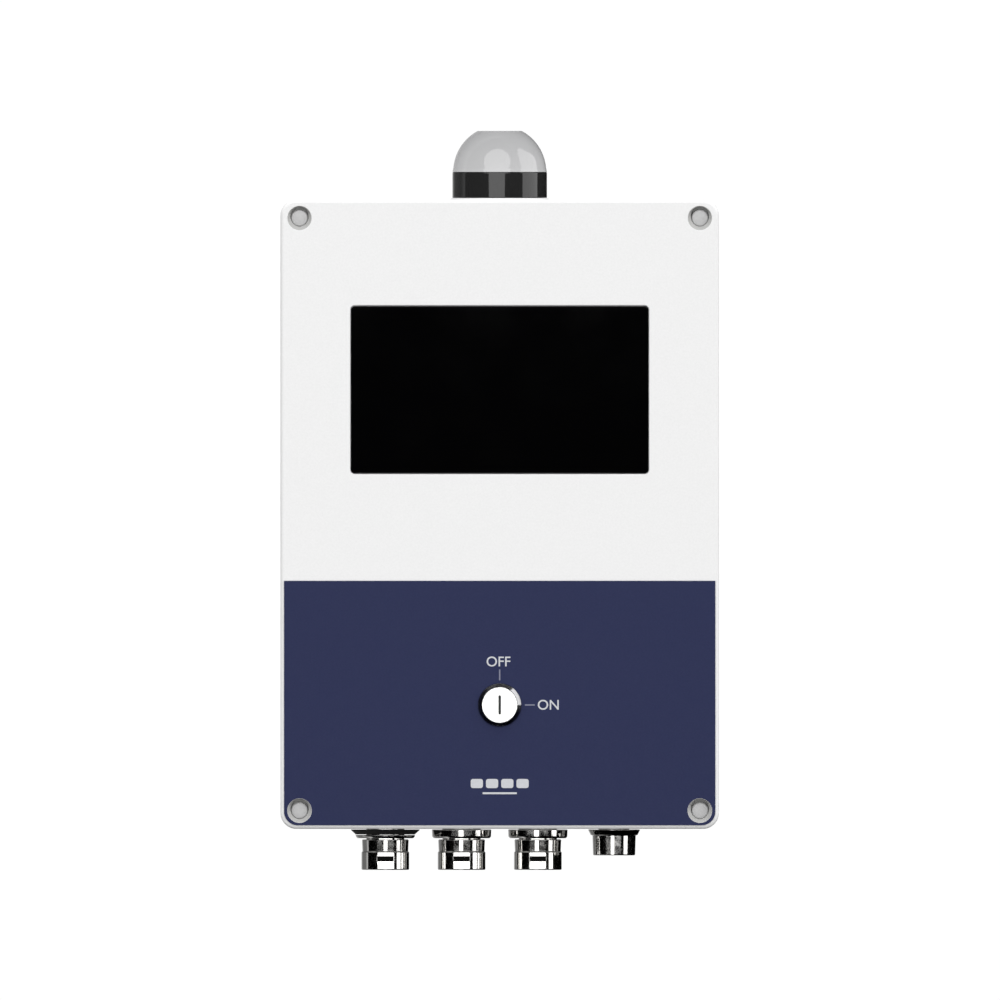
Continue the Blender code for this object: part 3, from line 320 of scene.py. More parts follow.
def moulded(name, colour, roughness=0.42):
    """Plain moulded plastic with a fine spark-eroded grain."""
    made = new_material(name, colour, roughness)
    dark = tuple(0.93 * value for value in colour)
    vary_colour(made, dark, colour, 2.5 * MM)
    set_normal(made, bump(made, noise(made, 0.3 * MM, 2.0), 0.02 * MM, 0.5))
    return made


MATERIALS = {
    "powder_coat": powder_coat(),
    "overlay_blue": overlay_blue(),
    "black_glass": black_glass(),
    "black_gloss": black_gloss(),
    "black_plastic": black_plastic(),
    "smoke_dome": smoke_dome(),
    "bright_nickel": bright_nickel(),
    "zinc_steel": zinc_steel(),
    "screw_steel": screw_steel(),
    "aluminium": aluminium(),
    "rubber": rubber(),
    "circuit_board": circuit_board(),
    "copper": copper(),
    "light_plastic": moulded("light_plastic", (0.70, 0.70, 0.68)),
    "relay_plastic": moulded("relay_plastic", (0.045, 0.095, 0.22)),
    "capacitor_sleeve": moulded("capacitor_sleeve", (0.028, 0.045, 0.12), 0.28),
    "wire_grey": moulded("wire_grey", (0.24, 0.24, 0.25), 0.55),
}
# Bare-metal grey for the screw seats, darker than the coat: partly a real unpainted seat, partly painted
# shade in the recesses.
SEAT_METAL_AND_SHADE = moulded("seat_metal_and_shade", (0.47, 0.47, 0.46), 0.5)
# A near-black with almost no gloss, used as painted shade behind the connector windows.
SHADOW_BLACK = moulded("shadow_black", (0.003, 0.003, 0.003), 0.6)
shader_of(SHADOW_BLACK).inputs["Specular IOR Level"].default_value = 0.1
LEGEND_WHITE = legend_white()
LEGEND_GREY = legend_grey()
BLACK_METAL = black_metal()
SATIN_NICKEL = satin_nickel()

for node_name, node_object in NODES.items():
    node_object.data.materials.clear()
    node_object.data.materials.append(MATERIALS[SLOT_OF[node_name]])


# ---------------------------------------------------------------- mesh helpers

def finish_mesh(name, shape, material, angle=SMOOTH_ANGLE):
    """Turns a bmesh into a smooth-shaded object whose faces point out."""
    bmesh.ops.remove_doubles(shape, verts=shape.verts, dist=0.0005 * MM)
    bmesh.ops.recalc_face_normals(shape, faces=shape.faces)
    mesh = bpy.data.meshes.new(name)
    shape.to_mesh(mesh)
    shape.free()
    mesh.shade_smooth()
    mesh.set_sharp_from_angle(angle=math.radians(angle))
    made = bpy.data.objects.new(name, mesh)
    bpy.context.scene.collection.objects.link(made)
    if material is not None:
        mesh.materials.append(material)
    return made


def outline(half_width, half_height, corner, middle=(0.0, 0.0), steps=12):
    """Points round a rectangle with round corners, in X and Z."""
    points = []
    places = ((1, 1, 0), (-1, 1, 90), (-1, -1, 180), (1, -1, 270))
    for side, level, start in places:
        centre = (side * (half_width - corner), level * (half_height - corner))
        for step in range(steps + 1):
            angle = math.radians(start + 90 * step / steps)
            points.append((middle[0] + centre[0] + corner * math.cos(angle),
                           middle[1] + centre[1] + corner * math.sin(angle)))
    return points


def stack(name, levels, material=None):
    """A solid through outlines at different depths: levels are (y, points), equally many in each."""
    shape = bmesh.new()
    rows = [[shape.verts.new((x, y, z)) for x, z in points] for y, points in levels]
    for first, second in zip(rows, rows[1:]):
        for index in range(len(first)):
            after = (index + 1) % len(first)
            shape.faces.new((first[index], first[after], second[after], second[index]))
    shape.faces.new(rows[0])
    shape.faces.new(list(reversed(rows[-1])))
    return finish_mesh(name, shape, material)


def circle(radius, x, z, tall=None, steps=64):
    """Points round a circle in X and Z, or round an ellipse of another half height."""
    turns = [2 * math.pi * step / steps for step in range(steps)]
    return [(x + radius * math.cos(turn), z + (tall or radius) * math.sin(turn)) for turn in turns]


def arc(radius, height, start, end, steps):
    """Profile points along a circle about (0, height), between two angles above the level."""
    turns = [start + (end - start) * step / steps for step in range(steps + 1)]
    return [(radius * math.cos(turn), height + radius * math.sin(turn)) for turn in turns]


def soften(points, radius, steps=4, closed=False):
    """Rounds the corners of a profile."""
    count = len(points)
    rounded = []
    for index, point in enumerate(points):
        if not closed and index in (0, count - 1):
            rounded.append(point)
            continue
        here = Vector(point)
        before = Vector(points[index - 1]) - here
        after = Vector(points[(index + 1) % count]) - here
        reach = min(radius, 0.45 * before.length, 0.45 * after.length)
        if before.angle(after) > math.radians(170):
            rounded.append(point)
            continue
        start = here + before.normalized() * reach
        end = here + after.normalized() * reach
        for step in range(steps + 1):
            t = step / steps
            spot = start * (1 - t) ** 2 + here * 2 * t * (1 - t) + end * t ** 2
            rounded.append((spot.x, spot.y))
    return rounded


def lathe(name, profile, centre, material=None, axis="Z", segments=96, closed=False,
          angle=SMOOTH_ANGLE):
    """Turns a profile of (radius, height) about an axis; +height is up on Z and forward on Y."""
    shape = bmesh.new()
    rows = []
    for radius, height in profile:
        row = []
        for index in range(segments):
            turn = 2 * math.pi * index / segments
            across = (radius * math.cos(turn), radius * math.sin(turn))
            if axis == "Z":
                place = (centre[0] + across[0], centre[1] + across[1], centre[2] + height)
            else:
                place = (centre[0] + across[0], centre[1] - height, centre[2] + across[1])
            row.append(shape.verts.new(place))
            if radius < 0.0001 * MM:
                break
        rows.append(row)
    pairs = list(zip(rows, rows[1:]))
    if closed:
        pairs.append((rows[-1], rows[0]))
    for first, second in pairs:
        for index in range(segments):
            after = (index + 1) % segments
            corners = [first[index % len(first)], first[after % len(first)],
                       second[after % len(second)], second[index % len(second)]]
            corners = list(dict.fromkeys(corners))
            if len(corners) > 2:
                shape.faces.new(corners)
    return finish_mesh(name, shape, material, angle)


def carve(target, *tools, operation="DIFFERENCE"):
    """Cuts the tools out of the target, or joins them to it, and removes them."""
    for tool in tools:
        step = target.modifiers.new("cut", "BOOLEAN")
        step.operation = operation
        step.object = tool
        step.solver = "EXACT"
    settle(target)
    for tool in tools:
        bpy.data.objects.remove(tool, do_unlink=True)


def settle(target):
    """Replaces an object's mesh with what its modifiers make."""
    bpy.context.view_layer.update()
    depsgraph = bpy.context.evaluated_depsgraph_get()
    mesh = bpy.data.meshes.new_from_object(target.evaluated_get(depsgraph))
    target.modifiers.clear()
    target.data = mesh
    mesh.name = target.name
    mesh.shade_smooth()
    mesh.set_sharp_from_angle(angle=math.radians(SMOOTH_ANGLE))


def keep_flat(target):
    """Keeps large faces flat beside rounded edges."""
    step = target.modifiers.new("flat_faces", "WEIGHTED_NORMAL")
    step.keep_sharp = True
    step.weight = 60


def place(piece, body, slot, *nodes):
    """The piece rides on a body and stands for the CAD nodes named, if any; the slot argument is not used."""
    keep_flat(piece)
    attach(piece, body)
    if nodes:
        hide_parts(*nodes)


def centre_of(node):
    low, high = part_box(node)
    return (low + high) / 2


# ---------------------------------------------------------------- enclosure

LID_LOW, LID_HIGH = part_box("lid_casting")
BASE_LOW, BASE_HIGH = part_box("base_casting")
FRONT = LID_LOW.y
HALF_WIDTH = LID_HIGH.x
HALF_HEIGHT = LID_HIGH.z
UNDERSIDE = -HALF_HEIGHT
BOX_CORNER = 8.4 * MM
LID_EDGE = 1.8 * MM
WALL = 4 * MM
SCREW_SIDE = 105 * MM
SCREW_RISE = 155 * MM
SCREW_SHIFT = 0.4 * MM
SCREW_PLACES = [(side * SCREW_SIDE, level * (SCREW_RISE + SCREW_SHIFT))
                for side in (-1, 1) for level in (-1, 1)]
RECESS = 6.3 * MM
RECESS_DEPTH = 5.7 * MM
RECESS_EDGE = 0.15 * MM
WINDOW_CORNER = 2 * MM
WINDOW_STEPS = 10


def box_level(y, inset):
    """The enclosure's outline at a depth, drawn in by an inset."""
    return (y, outline(HALF_WIDTH - inset, HALF_HEIGHT - inset, max(BOX_CORNER - inset, 0.5 * MM), steps=16))


def edge_levels(y, radius, steps, direction):
    """Outlines that round an edge at depth y; direction is +1 when the solid lies behind it."""
    levels = []
    for step in range(steps + 1):
        angle = math.radians(90 * step / steps)
        depth = radius * (1 - math.sin(angle))
        levels.append(box_level(y + direction * depth, radius * (1 - math.cos(angle))))
    return levels


def window_shape():
    """The display window's middle in X and Z, and its half sizes."""
    low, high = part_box("display_window")
    return (0.0, (low.z + high.z) / 2), ((high.x - low.x) / 2, (high.z - low.z) / 2)


def key_hole():
    """A cutter for the key switch's hole, through overlay and lid."""
    key = centre_of("key_housing")
    radius = 10.3 * MM
    reach = 9 * MM
    profile = [(0, reach), (radius, reach), (radius, -reach), (0, -reach)]
    return lathe("key_hole", profile, (key.x, FRONT, key.z), axis="Y")


def build_screw_seats():
    """The lid's machined screw seats: an open gap above each head and a slope that meets it below. Their
    bare-metal grey, darker than the coat, is also painted shade inside the recesses.
    """
    mouth = RECESS - 0.05 * MM
    lip = RECESS - 0.1 * MM
    foot_wide = 4.7 * MM
    foot_tall = 5.28 * MM
    foot_lift = 0.87 * MM
    draft = 0.05 * MM
    shank_hole = 3.1 * MM
    hole = [(-1 * MM, mouth, mouth, 0.0), (RECESS_EDGE, lip, lip, 0.0),
            (2 * MM, foot_wide + draft, foot_tall + draft, foot_lift),
            (RECESS_DEPTH - 0.05 * MM, foot_wide, foot_tall, foot_lift)]
    for index, (x, z) in enumerate(SCREW_PLACES):
        body = [(FRONT + y, circle(RECESS + 0.03 * MM, x, z)) for y in (0.12 * MM, RECESS_DEPTH + 0.2 * MM)]
        seat = stack("screw_seat_%d" % (index + 1), body, SEAT_METAL_AND_SHADE)
        opening = [(FRONT + y, circle(wide, x, z + lift, tall)) for y, wide, tall, lift in hole]
        shank = [(FRONT + y, circle(shank_hole, x, z)) for y in (0.0, 8 * MM)]
        carve(seat, stack("seat_hole", opening), stack("shank_hole", shank))
        place(seat, "inverter", "screw_steel")


def build_lid():
    """The front half of the box, with its window seat, screw recesses and key hole."""
    front_edge = list(reversed(edge_levels(FRONT, LID_EDGE, 6, 1)))
    back_edge = edge_levels(LID_HIGH.y, 0.5 * MM, 3, -1)
    lid = stack("lid", front_edge + back_edge, MATERIALS["powder_coat"])
    inside = [box_level(y, WALL) for y in (FRONT + WALL, LID_HIGH.y + 2 * MM)]
    carve(lid, stack("lid_hollow", inside))
    middle, half = window_shape()
    margin = 0.25 * MM
    rim = 0.5 * MM
    ledge = 3 * MM
    ledge_depth = 2.6 * MM
    seat = []
    for depth, spread in ((-3 * MM, rim), (0.0, rim), (0.15 * MM, 0.22 * MM), (rim, 0.0), (ledge_depth, 0.0)):
        grow = margin + spread
        seat.append((FRONT + depth, outline(half[0] + grow, half[1] + grow, WINDOW_CORNER + grow, middle,
                                            WINDOW_STEPS)))
    opening = [(FRONT + y, outline(half[0] - ledge, half[1] - ledge, 1 * MM, middle, WINDOW_STEPS))
               for y in (1 * MM, 6 * MM)]
    carve(lid, stack("window_seat", seat), stack("window_opening", opening))
    mouth = RECESS + RECESS_EDGE
    recess = [(-1 * MM, mouth), (0.0, mouth), (RECESS_EDGE, RECESS), (RECESS_DEPTH, RECESS)]
    for x, z in SCREW_PLACES:
        carve(lid, stack("recess", [(FRONT + y, circle(radius, x, z)) for y, radius in recess]))
    carve(lid, key_hole())
    place(lid, "inverter", "powder_coat", "lid_casting")


def build_base():
    """The deep half of the box, with a fine step at the parting line and a low pad under the beacon."""
    step = 0.35 * MM
    front = [box_level(BASE_LOW.y, step), box_level(BASE_LOW.y + 0.5 * MM, 0.0)]
    back = edge_levels(BASE_HIGH.y, 1.5 * MM, 5, -1)
    base = stack("base", front + back, MATERIALS["powder_coat"])
    inside = [box_level(y, WALL) for y in (BASE_LOW.y - 2 * MM, BASE_HIGH.y - WALL)]
    carve(base, stack("base_hollow", inside))
    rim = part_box("beacon_base")[1].x + 0.05 * MM
    rim_foot = rim + 1 * MM
    seat_height = 0.28 * MM
    rim_height = 0.85 * MM
    root = -1 * MM
    pad = [(0.0, seat_height), (rim, seat_height), (rim, rim_height), (rim + 0.6 * MM, rim_height),
           (rim_foot, 0.0), (rim_foot, root), (0.0, root)]
    middle = centre_of("beacon_base")
    carve(base, lathe("beacon_pad", pad, (middle.x, middle.y, HALF_HEIGHT)), operation="UNION")
    place(base, "inverter", "powder_coat", "base_casting")


def build_lid_screws():
    """Plain capped screw heads, slightly domed, at the bottom of their recesses."""
    sunk = 0.6 * MM
    tall = 3.6 * MM
    shank = 3 * MM
    levels = {"bottom_left": -1, "bottom_right": -1, "top_left": 1, "top_right": 1}
    for name, level in levels.items():
        node = "lid_screw_" + name
        low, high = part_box(node)
        head = (high.x - low.x) / 2
        length = high.y - low.y - sunk
        profile = [(0.0, 0.0), (head * 0.55, -0.10 * MM), (head - 0.5 * MM, -0.35 * MM),
                   (head, -0.9 * MM), (head, -tall), (shank, -tall), (shank, -length), (0.0, -length)]
        screw = lathe("screw_" + name, soften(profile, 0.4 * MM),
                      ((low.x + high.x) / 2, low.y + sunk, (low.z + high.z) / 2 + level * SCREW_SHIFT),
                      MATERIALS["screw_steel"], "Y", 64)
        place(screw, "inverter", "screw_steel", node)


# ---------------------------------------------------------------- display and overlay

OVERLAY_CORNER = 7.1 * MM
OVERLAY_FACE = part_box("lower_overlay")[0].y
LEGEND_SIZE = 7.35 * MM


def build_window():
    """The display's cover glass, with a softened front edge."""
    low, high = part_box("display_window")
    middle, half = window_shape()
    edge = 0.35 * MM
    levels = []
    for depth, inset in ((0.0, edge), (0.1 * MM, 0.1 * MM), (edge, 0.0), (high.y - low.y, 0.0)):
        levels.append((low.y + depth, outline(half[0] - inset, half[1] - inset, WINDOW_CORNER - inset, middle,
                                              WINDOW_STEPS)))
    glass = stack("display_glass", levels, MATERIALS["black_glass"])
    place(glass, "inverter", "black_glass", "display_window")


def overlay_outline(inset):
    """Square corners at the top and round ones at the bottom."""
    low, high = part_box("lower_overlay")
    half = high.x - inset
    bottom = low.z + inset
    corner = OVERLAY_CORNER - inset
    steps = 12
    points = [(half, high.z - inset), (-half, high.z - inset)]
    for side, start in ((-1, 180), (1, 270)):
        for step in range(steps + 1):
            angle = math.radians(start + 90 * step / steps)
            points.append((side * (half - corner) + corner * math.cos(angle),
                           bottom + corner + corner * math.sin(angle)))
    return points


def build_overlay():
    """The navy foil, with holes for the two lower screws and the key switch."""
    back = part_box("lower_overlay")[1].y
    edge = 0.08 * MM
    levels = [(OVERLAY_FACE, overlay_outline(edge)), (OVERLAY_FACE + edge, overlay_outline(0.0)),
              (back, overlay_outline(0.0))]
    overlay = stack("front_overlay", levels, MATERIALS["overlay_blue"])
    for x, z in SCREW_PLACES[::2]:
        hole = [(FRONT + y, circle(RECESS + RECESS_EDGE, x, z)) for y in (-3 * MM, 3 * MM)]
        carve(overlay, stack("overlay_hole", hole))
    carve(overlay, key_hole())
    place(overlay, "inverter", "overlay_blue", "lower_overlay")


def print_bar(name, x, z, material):
    """A thin printed bar on the overlay, between (low, high) places in X and Z."""
    middle = ((x[0] + x[1]) / 2, (z[0] + z[1]) / 2)
    half = ((x[1] - x[0]) / 2, (z[1] - z[0]) / 2)
    corner = min(half) * 0.5
    levels = [(OVERLAY_FACE + y, outline(half[0], half[1], corner, middle, 4))
              for y in (-0.06 * MM, 0.05 * MM)]
    place(stack(name, levels, material), "inverter", "light_plastic")


def print_text(name, text, centre):
    """Generic switch legend, printed on the overlay."""
    curve = bpy.data.curves.new(name, "FONT")
    curve.body = text
    curve.size = LEGEND_SIZE
    curve.align_x = "CENTER"
    curve.align_y = "CENTER"
    curve.offset = 0.05 * MM
    curve.extrude = 0.05 * MM
    curve.resolution_u = 6
    holder = bpy.data.objects.new(name + "_curve", curve)
    bpy.context.scene.collection.objects.link(holder)
    holder.matrix_world = (Matrix.Translation((centre[0], OVERLAY_FACE, centre[1]))
                           @ Matrix.Rotation(math.radians(90), 4, "X"))
    bpy.context.view_layer.update()
    mesh = bpy.data.meshes.new_from_object(holder.evaluated_get(bpy.context.evaluated_depsgraph_get()))
    mesh.transform(holder.matrix_world)
    bpy.data.objects.remove(holder, do_unlink=True)
    shape = bmesh.new()
    shape.from_mesh(mesh)
    made = finish_mesh(name, shape, LEGEND_WHITE)
    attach(made, "inverter")


def build_legends():
    """OFF above the key and ON beside it, each with a leader line, and plain marks low on the overlay."""
    key = centre_of("key_housing")
    line = 0.35 * MM
    print_text("legend_off", "OFF", (-0.7 * MM, key.z + 22.5 * MM))
    print_text("legend_on", "ON", (25.6 * MM, key.z - 0.2 * MM))
    print_bar("legend_line_off", (-line, line), (key.z + 12.9 * MM, key.z + 18.6 * MM), LEGEND_GREY)
    print_bar("legend_line_on", (13.2 * MM, 18.4 * MM), (key.z - line, key.z + line), LEGEND_GREY)
    mark_height = -141.2 * MM
    mark_wide = 3.2 * MM
    mark_tall = 2.4 * MM
    pitch = 8 * MM
    marks = 4
    for index in range(marks):
        x = (index - (marks - 1) / 2) * pitch
        print_bar("plain_mark_%d" % (index + 1), (x - mark_wide, x + mark_wide),
                  (mark_height - mark_tall, mark_height + mark_tall), LEGEND_WHITE)
    line_wide = 9 * MM
    print_bar("plain_mark_line", (-line_wide, line_wide), (mark_height - 5.6 * MM, mark_height - 4.6 * MM),
              LEGEND_WHITE)


# ---------------------------------------------------------------- key switch

def build_key():
    """The switch's sloping bezel and barrel, and the rotor with its slot, which turns in it."""
    low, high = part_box("key_housing")
    centre = ((low.x + high.x) / 2, low.y, (low.z + high.z) / 2)
    ring = (high.x - low.x) / 2
    disc_low, disc_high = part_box("key_rotor")
    disc = (disc_high.x - disc_low.x) / 2
    inner = disc + 0.06 * MM
    slope = ring - inner
    foot = 0.1 * MM - (OVERLAY_FACE - low.y)
    end = low.y - high.y
    barrel = 10 * MM
    bore = 7.3 * MM
    pocket = -2 * MM
    profile = [(inner, -0.05 * MM), (ring - 0.1 * MM, 0.05 * MM - slope), (ring, -0.15 * MM - slope),
               (ring, foot), (barrel, foot), (barrel, end), (bore, end), (bore, pocket), (inner, pocket)]
    bezel = lathe("key_bezel", soften(profile, 0.1 * MM, 3, True), centre, BLACK_METAL, "Y", 128, True)
    place(bezel, "inverter", "black_gloss", "key_housing")
    face = disc_low.y - low.y
    depth = disc_high.y - disc_low.y
    edge = 0.15 * MM
    back = -face - 1.65 * MM
    plug = 7 * MM
    plug_end = -25 * MM
    cam = 5 * MM
    profile = [(0.0, -face), (disc - edge, -face), (disc, -face - edge), (disc, back), (plug, back),
               (plug, plug_end), (cam, plug_end), (cam, -face - depth), (0.0, -face - depth)]
    rotor = lathe("key_plug", soften(profile, 0.12 * MM, 3), centre, SATIN_NICKEL, "Y", 128)
    slot_wide = 0.58 * MM
    slot_tall = 4.95 * MM
    middle = (0.0, centre[2])
    flare = 0.12 * MM
    slot = [(centre[1] + y, outline(slot_wide + spread, slot_tall + spread, 0.5 * MM, middle, 6))
            for y, spread in ((-1 * MM, flare), (face, flare), (face + 0.15 * MM, 0.0), (6 * MM, 0.0))]
    carve(rotor, stack("slot_cutter", slot))
    place(rotor, "key", "bright_nickel", "key_rotor")
    # A black block fills the slot behind its mouth: painted shade for the dark inside of the keyway.
    floor = [(centre[1] + y, outline(slot_wide - 0.04 * MM, slot_tall - 0.05 * MM, 0.45 * MM, middle, 6))
             for y in (1.6 * MM, 5.9 * MM)]
    place(stack("key_slot_shade", floor, MATERIALS["black_plastic"]), "key", "black_plastic")


# ---------------------------------------------------------------- beacon

def build_beacon_base():
    """The black socket, which stands over its gasket and goes through the top wall."""
    low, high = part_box("beacon_base")
    centre = ((low.x + high.x) / 2, (low.y + high.y) / 2, 0.0)
    radius = (high.x - low.x) / 2
    gasket_low, gasket_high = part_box("beacon_gasket")
    skirt = gasket_low.z + 0.3 * MM
    bottom = gasket_high.z + 0.3 * MM
    lining = (gasket_high.x - gasket_low.x) / 2 + 0.2 * MM
    stud = 11 * MM
    bore = 6 * MM
    edge = 0.5 * MM
    profile = [(bore, high.z), (radius - 0.25 * MM, high.z), (radius, high.z - edge), (radius, skirt + edge),
               (radius - 0.2 * MM, skirt), (lining, skirt), (lining, bottom), (stud, bottom), (stud, low.z),
               (bore, low.z)]
    base = lathe("beacon_socket", soften(profile, 0.8 * MM, 4, True), centre, MATERIALS["black_gloss"],
                 "Z", 160, True, 40)
    place(base, "inverter", "black_gloss", "beacon_base")


def build_beacon_dome():
    """A hollow dome with a short, nearly upright lip and a flat crown."""
    low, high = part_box("beacon_base")
    centre = ((low.x + high.x) / 2, (low.y + high.y) / 2, 0.0)
    middle = high.z
    seat = middle + 0.01 * MM
    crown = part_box("beacon_dome")[1].z
    lip = seat + 1.8 * MM
    thick = 2 * MM
    outer = (high.x - low.x) / 2 - 0.02 * MM
    sphere = outer - 0.35 * MM
    inner = sphere - thick
    roof = crown - thick
    outside = arc(sphere, middle, math.asin((lip - middle) / sphere),
                  math.asin((crown - middle) / sphere), 40)
    inside = arc(inner, middle, math.asin((lip - middle) / inner),
                 math.asin((roof - middle) / inner), 24)
    profile = [(outer, seat), (outer - 0.32 * MM, lip)] + outside + [(0.0, crown), (0.0, roof)]
    profile += list(reversed(inside)) + [(inner, seat), (outer, seat)]
    dome = lathe("beacon_lens", profile, centre, MATERIALS["smoke_dome"], "Z", 160, angle=40)
    place(dome, "inverter", "smoke_dome", "beacon_dome")


# ---------------------------------------------------------------- connectors

GAP = 0.3 * MM
CORE = 10 * MM


def build_connector_seal(x, y):
    """The tapered black seal between the box and the flange of connector 1."""
    low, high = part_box("power_connector_1_seal")
    wide = (high.x - low.x) / 2
    bore = CORE + GAP
    edge = 0.3 * MM
    profile = [(bore, high.z), (wide, high.z), (wide, high.z - edge), (wide - 2.2 * MM, low.z + edge),
               (wide - 2.3 * MM, low.z), (bore, low.z)]
    seal = lathe("connector_1_seal", soften(profile, 0.3 * MM, 3, True), (x, y, 0.0), MATERIALS["rubber"],
                 "Z", 96, True)
    place(seal, "inverter", "rubber", "power_connector_1_seal")


def build_power_connector(number):
    """A flanged shell, and a stepped ring on it with a window, backed by a near-black sheet that is painted
    shade.
    """
    prefix = "power_connector_%d" % number
    low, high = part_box(prefix + "_shell")
    ring_low, ring_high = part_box(prefix + "_ring")
    x = (ring_low.x + ring_high.x) / 2
    y = (ring_low.y + ring_high.y) / 2
    outer = (ring_high.x - ring_low.x) / 2
    flange = (high.x - low.x) / 2
    top = UNDERSIDE - GAP
    if number == 1:
        build_connector_seal(x, y)
        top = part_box(prefix + "_seal")[0].z - GAP
    foot = UNDERSIDE - 4.9 * MM
    core = CORE
    bore = 8 * MM
    end = low.z
    edge = 0.3 * MM
    mouth = 0.5 * MM
    profile = [(bore, high.z), (core, high.z), (core, top), (flange - edge, top), (flange, top - edge),
               (flange - 0.15 * MM, foot + 0.9 * MM), (flange - 0.9 * MM, foot), (core, foot),
               (core, end + edge), (core - edge, end), (bore + mouth, end), (bore, end + mouth)]
    shell = lathe("connector_%d_shell" % number, soften(profile, 0.2 * MM, 3, True), (x, y, 0.0),
                  MATERIALS["bright_nickel"], "Z", 128, True)
    place(shell, "inverter", "bright_nickel", prefix + "_shell")
    step_z = UNDERSIDE - 12.1 * MM
    top = ring_high.z
    bottom = ring_low.z
    inner = core + GAP
    profile = [(inner, top), (outer - 0.6 * MM, top), (outer - 0.25 * MM, top - 0.35 * MM),
               (outer - 0.5 * MM, step_z + 0.3 * MM), (outer, step_z - 0.2 * MM), (outer, bottom + 0.35 * MM),
               (outer - 0.35 * MM, bottom), (inner, bottom)]
    ring = lathe("connector_%d_ring" % number, soften(profile, 0.2 * MM, 3, True), (x, y, 0.0),
                 MATERIALS["bright_nickel"], "Z", 128, True)
    slot_wide = 4.4 * MM
    slot_tall = 1.45 * MM
    slot_corner = 0.4 * MM
    clear = 0.05 * MM
    middle = (x, UNDERSIDE - 15.7 * MM)
    slot = [(face, outline(slot_wide, slot_tall, slot_corner, middle, 6))
            for face in (y - outer - 1 * MM, y - inner - 0.4 * MM)]
    carve(ring, stack("ring_slot", slot))
    place(ring, "ring_%d" % number, "bright_nickel", prefix + "_ring")
    # A near-black sheet just behind each window: painted shade standing in for the dark inside of the ring.
    shade_outlines = [(y - inner - depth,
                outline(slot_wide - clear, slot_tall - clear, slot_corner - clear, middle, 6))
               for depth in (0.8 * MM, 0.3 * MM)]
    back = stack("connector_%d_window" % number, shade_outlines, SHADOW_BLACK)
    place(back, "ring_%d" % number, "black_plastic")


def build_signal_connector():
    """The smaller connector: one shell with a sloping flange and a stepped socket."""
    low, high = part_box("signal_connector_shell")
    x = (low.x + high.x) / 2
    y = (low.y + high.y) / 2
    flange = (high.x - low.x) / 2
    body = 11.35 * MM
    thread = 8 * MM
    end = low.z
    bore = 6.8 * MM
    socket = 8.6 * MM
    top = UNDERSIDE - GAP
    floor = UNDERSIDE - 4 * MM
    edge = 0.4 * MM
    profile = [(bore, high.z), (thread, high.z), (thread, top), (flange - 0.3 * MM, top),
               (flange, top - 0.3 * MM), (flange - 1.3 * MM, UNDERSIDE - 3.2 * MM),
               (body, UNDERSIDE - 3.5 * MM), (body - 0.3 * MM, end + edge), (body - 0.7 * MM, end),
               (socket + edge, end), (socket, end + edge), (socket, floor), (bore, floor)]
    shell = lathe("connector_4_shell", soften(profile, 0.2 * MM, 3, True), (x, y, 0.0),
                  MATERIALS["bright_nickel"], "Z", 128, True)
    place(shell, "inverter", "bright_nickel", "signal_connector_shell")


# ---------------------------------------------------------------- back of the object

def soften_node(name, width):
    """Breaks the sharp edges of a CAD piece that stays as it is."""
    step = NODES[name].modifiers.new("broken_edges", "BEVEL")
    step.width = width
    step.segments = 2
    step.limit_method = "ANGLE"
    step.angle_limit = math.radians(50)


# ---------------------------------------------------------------- stage, light and camera

def softbox(name, centre, target, edge, radiance):
    """A glowing panel that shows only in reflections: its edge is listed as (right, up) places."""
    centre = Vector(centre)
    away = (centre - Vector(target)).normalized()
    right = Vector((0.0, 0.0, 1.0)).cross(away).normalized()
    up = away.cross(right)
    shape = bmesh.new()
    shape.faces.new([shape.verts.new(centre + right * across + up * height) for across, height in edge])
    glow = new_material(name + "_glow", (0.0, 0.0, 0.0), 1.0)
    shader_of(glow).inputs["Specular IOR Level"].default_value = 0.0
    shader_of(glow).inputs["Emission Color"].default_value = (1.0, 1.0, 1.0, 1.0)
    shader_of(glow).inputs["Emission Strength"].default_value = radiance
    panel = finish_mesh(name, shape, glow)
    panel.visible_camera = False
    panel.visible_diffuse = False
    panel.visible_shadow = False
    panel.visible_transmission = False


def build_softboxes():
    """A round one on a square foot above the front, a low wide one, and a tall one on the right.

    The tall one's outline is drawn to match the highlight on the beacon.
    """
    radius = 0.47
    foot_top = -0.25
    foot_wide = 0.285
    bottom = -0.41
    top = [(math.copysign(max(abs(across), foot_wide), across) if height < foot_top else across,
            max(height, bottom)) for across, height in circle(radius, 0.0, 0.0)]
    softbox("softbox_top", (-0.082, -0.758, 0.509), (0.0, -0.089, 0.18), top, 2.4)
    low = [(-0.60, 0.075), (-0.60, -0.04), (-0.15, -0.04), (-0.15, -0.30), (0.06, -0.30), (0.06, -0.04),
           (0.60, -0.04), (0.60, 0.075)]
    softbox("softbox_low", (0.0, -0.80, -0.16), (0.0, -0.1, -0.16), low, 2.6)
    right = [(-0.39, -0.735), (-0.07, -0.735), (-0.07, -0.60), (0.28, -0.60), (0.32, -0.33), (0.40, -0.05),
             (0.35, 0.10), (0.25, 0.21), (0.11, 0.32), (0.02, 0.46), (-0.06, 0.58), (-0.16, 0.65),
             (-0.26, 0.62), (-0.36, 0.40), (-0.43, 0.05), (-0.37, -0.33)]
    softbox("softbox_right", (0.79, -0.20, 0.50), (0.0, -0.09, 0.50), right, 2.1)


def world_value(tree, node, *sources):
    """Feeds a world node's named inputs with sockets or plain numbers."""
    for name, source in sources:
        if isinstance(source, float):
            node.inputs[name].default_value = source
        else:
            tree.links.new(source, node.inputs[name])
    return node


def world_math(tree, operation, *sources):
    node = tree.nodes.new("ShaderNodeMath")
    node.operation = operation
    return world_value(tree, node, *enumerate(sources)).outputs["Value"]


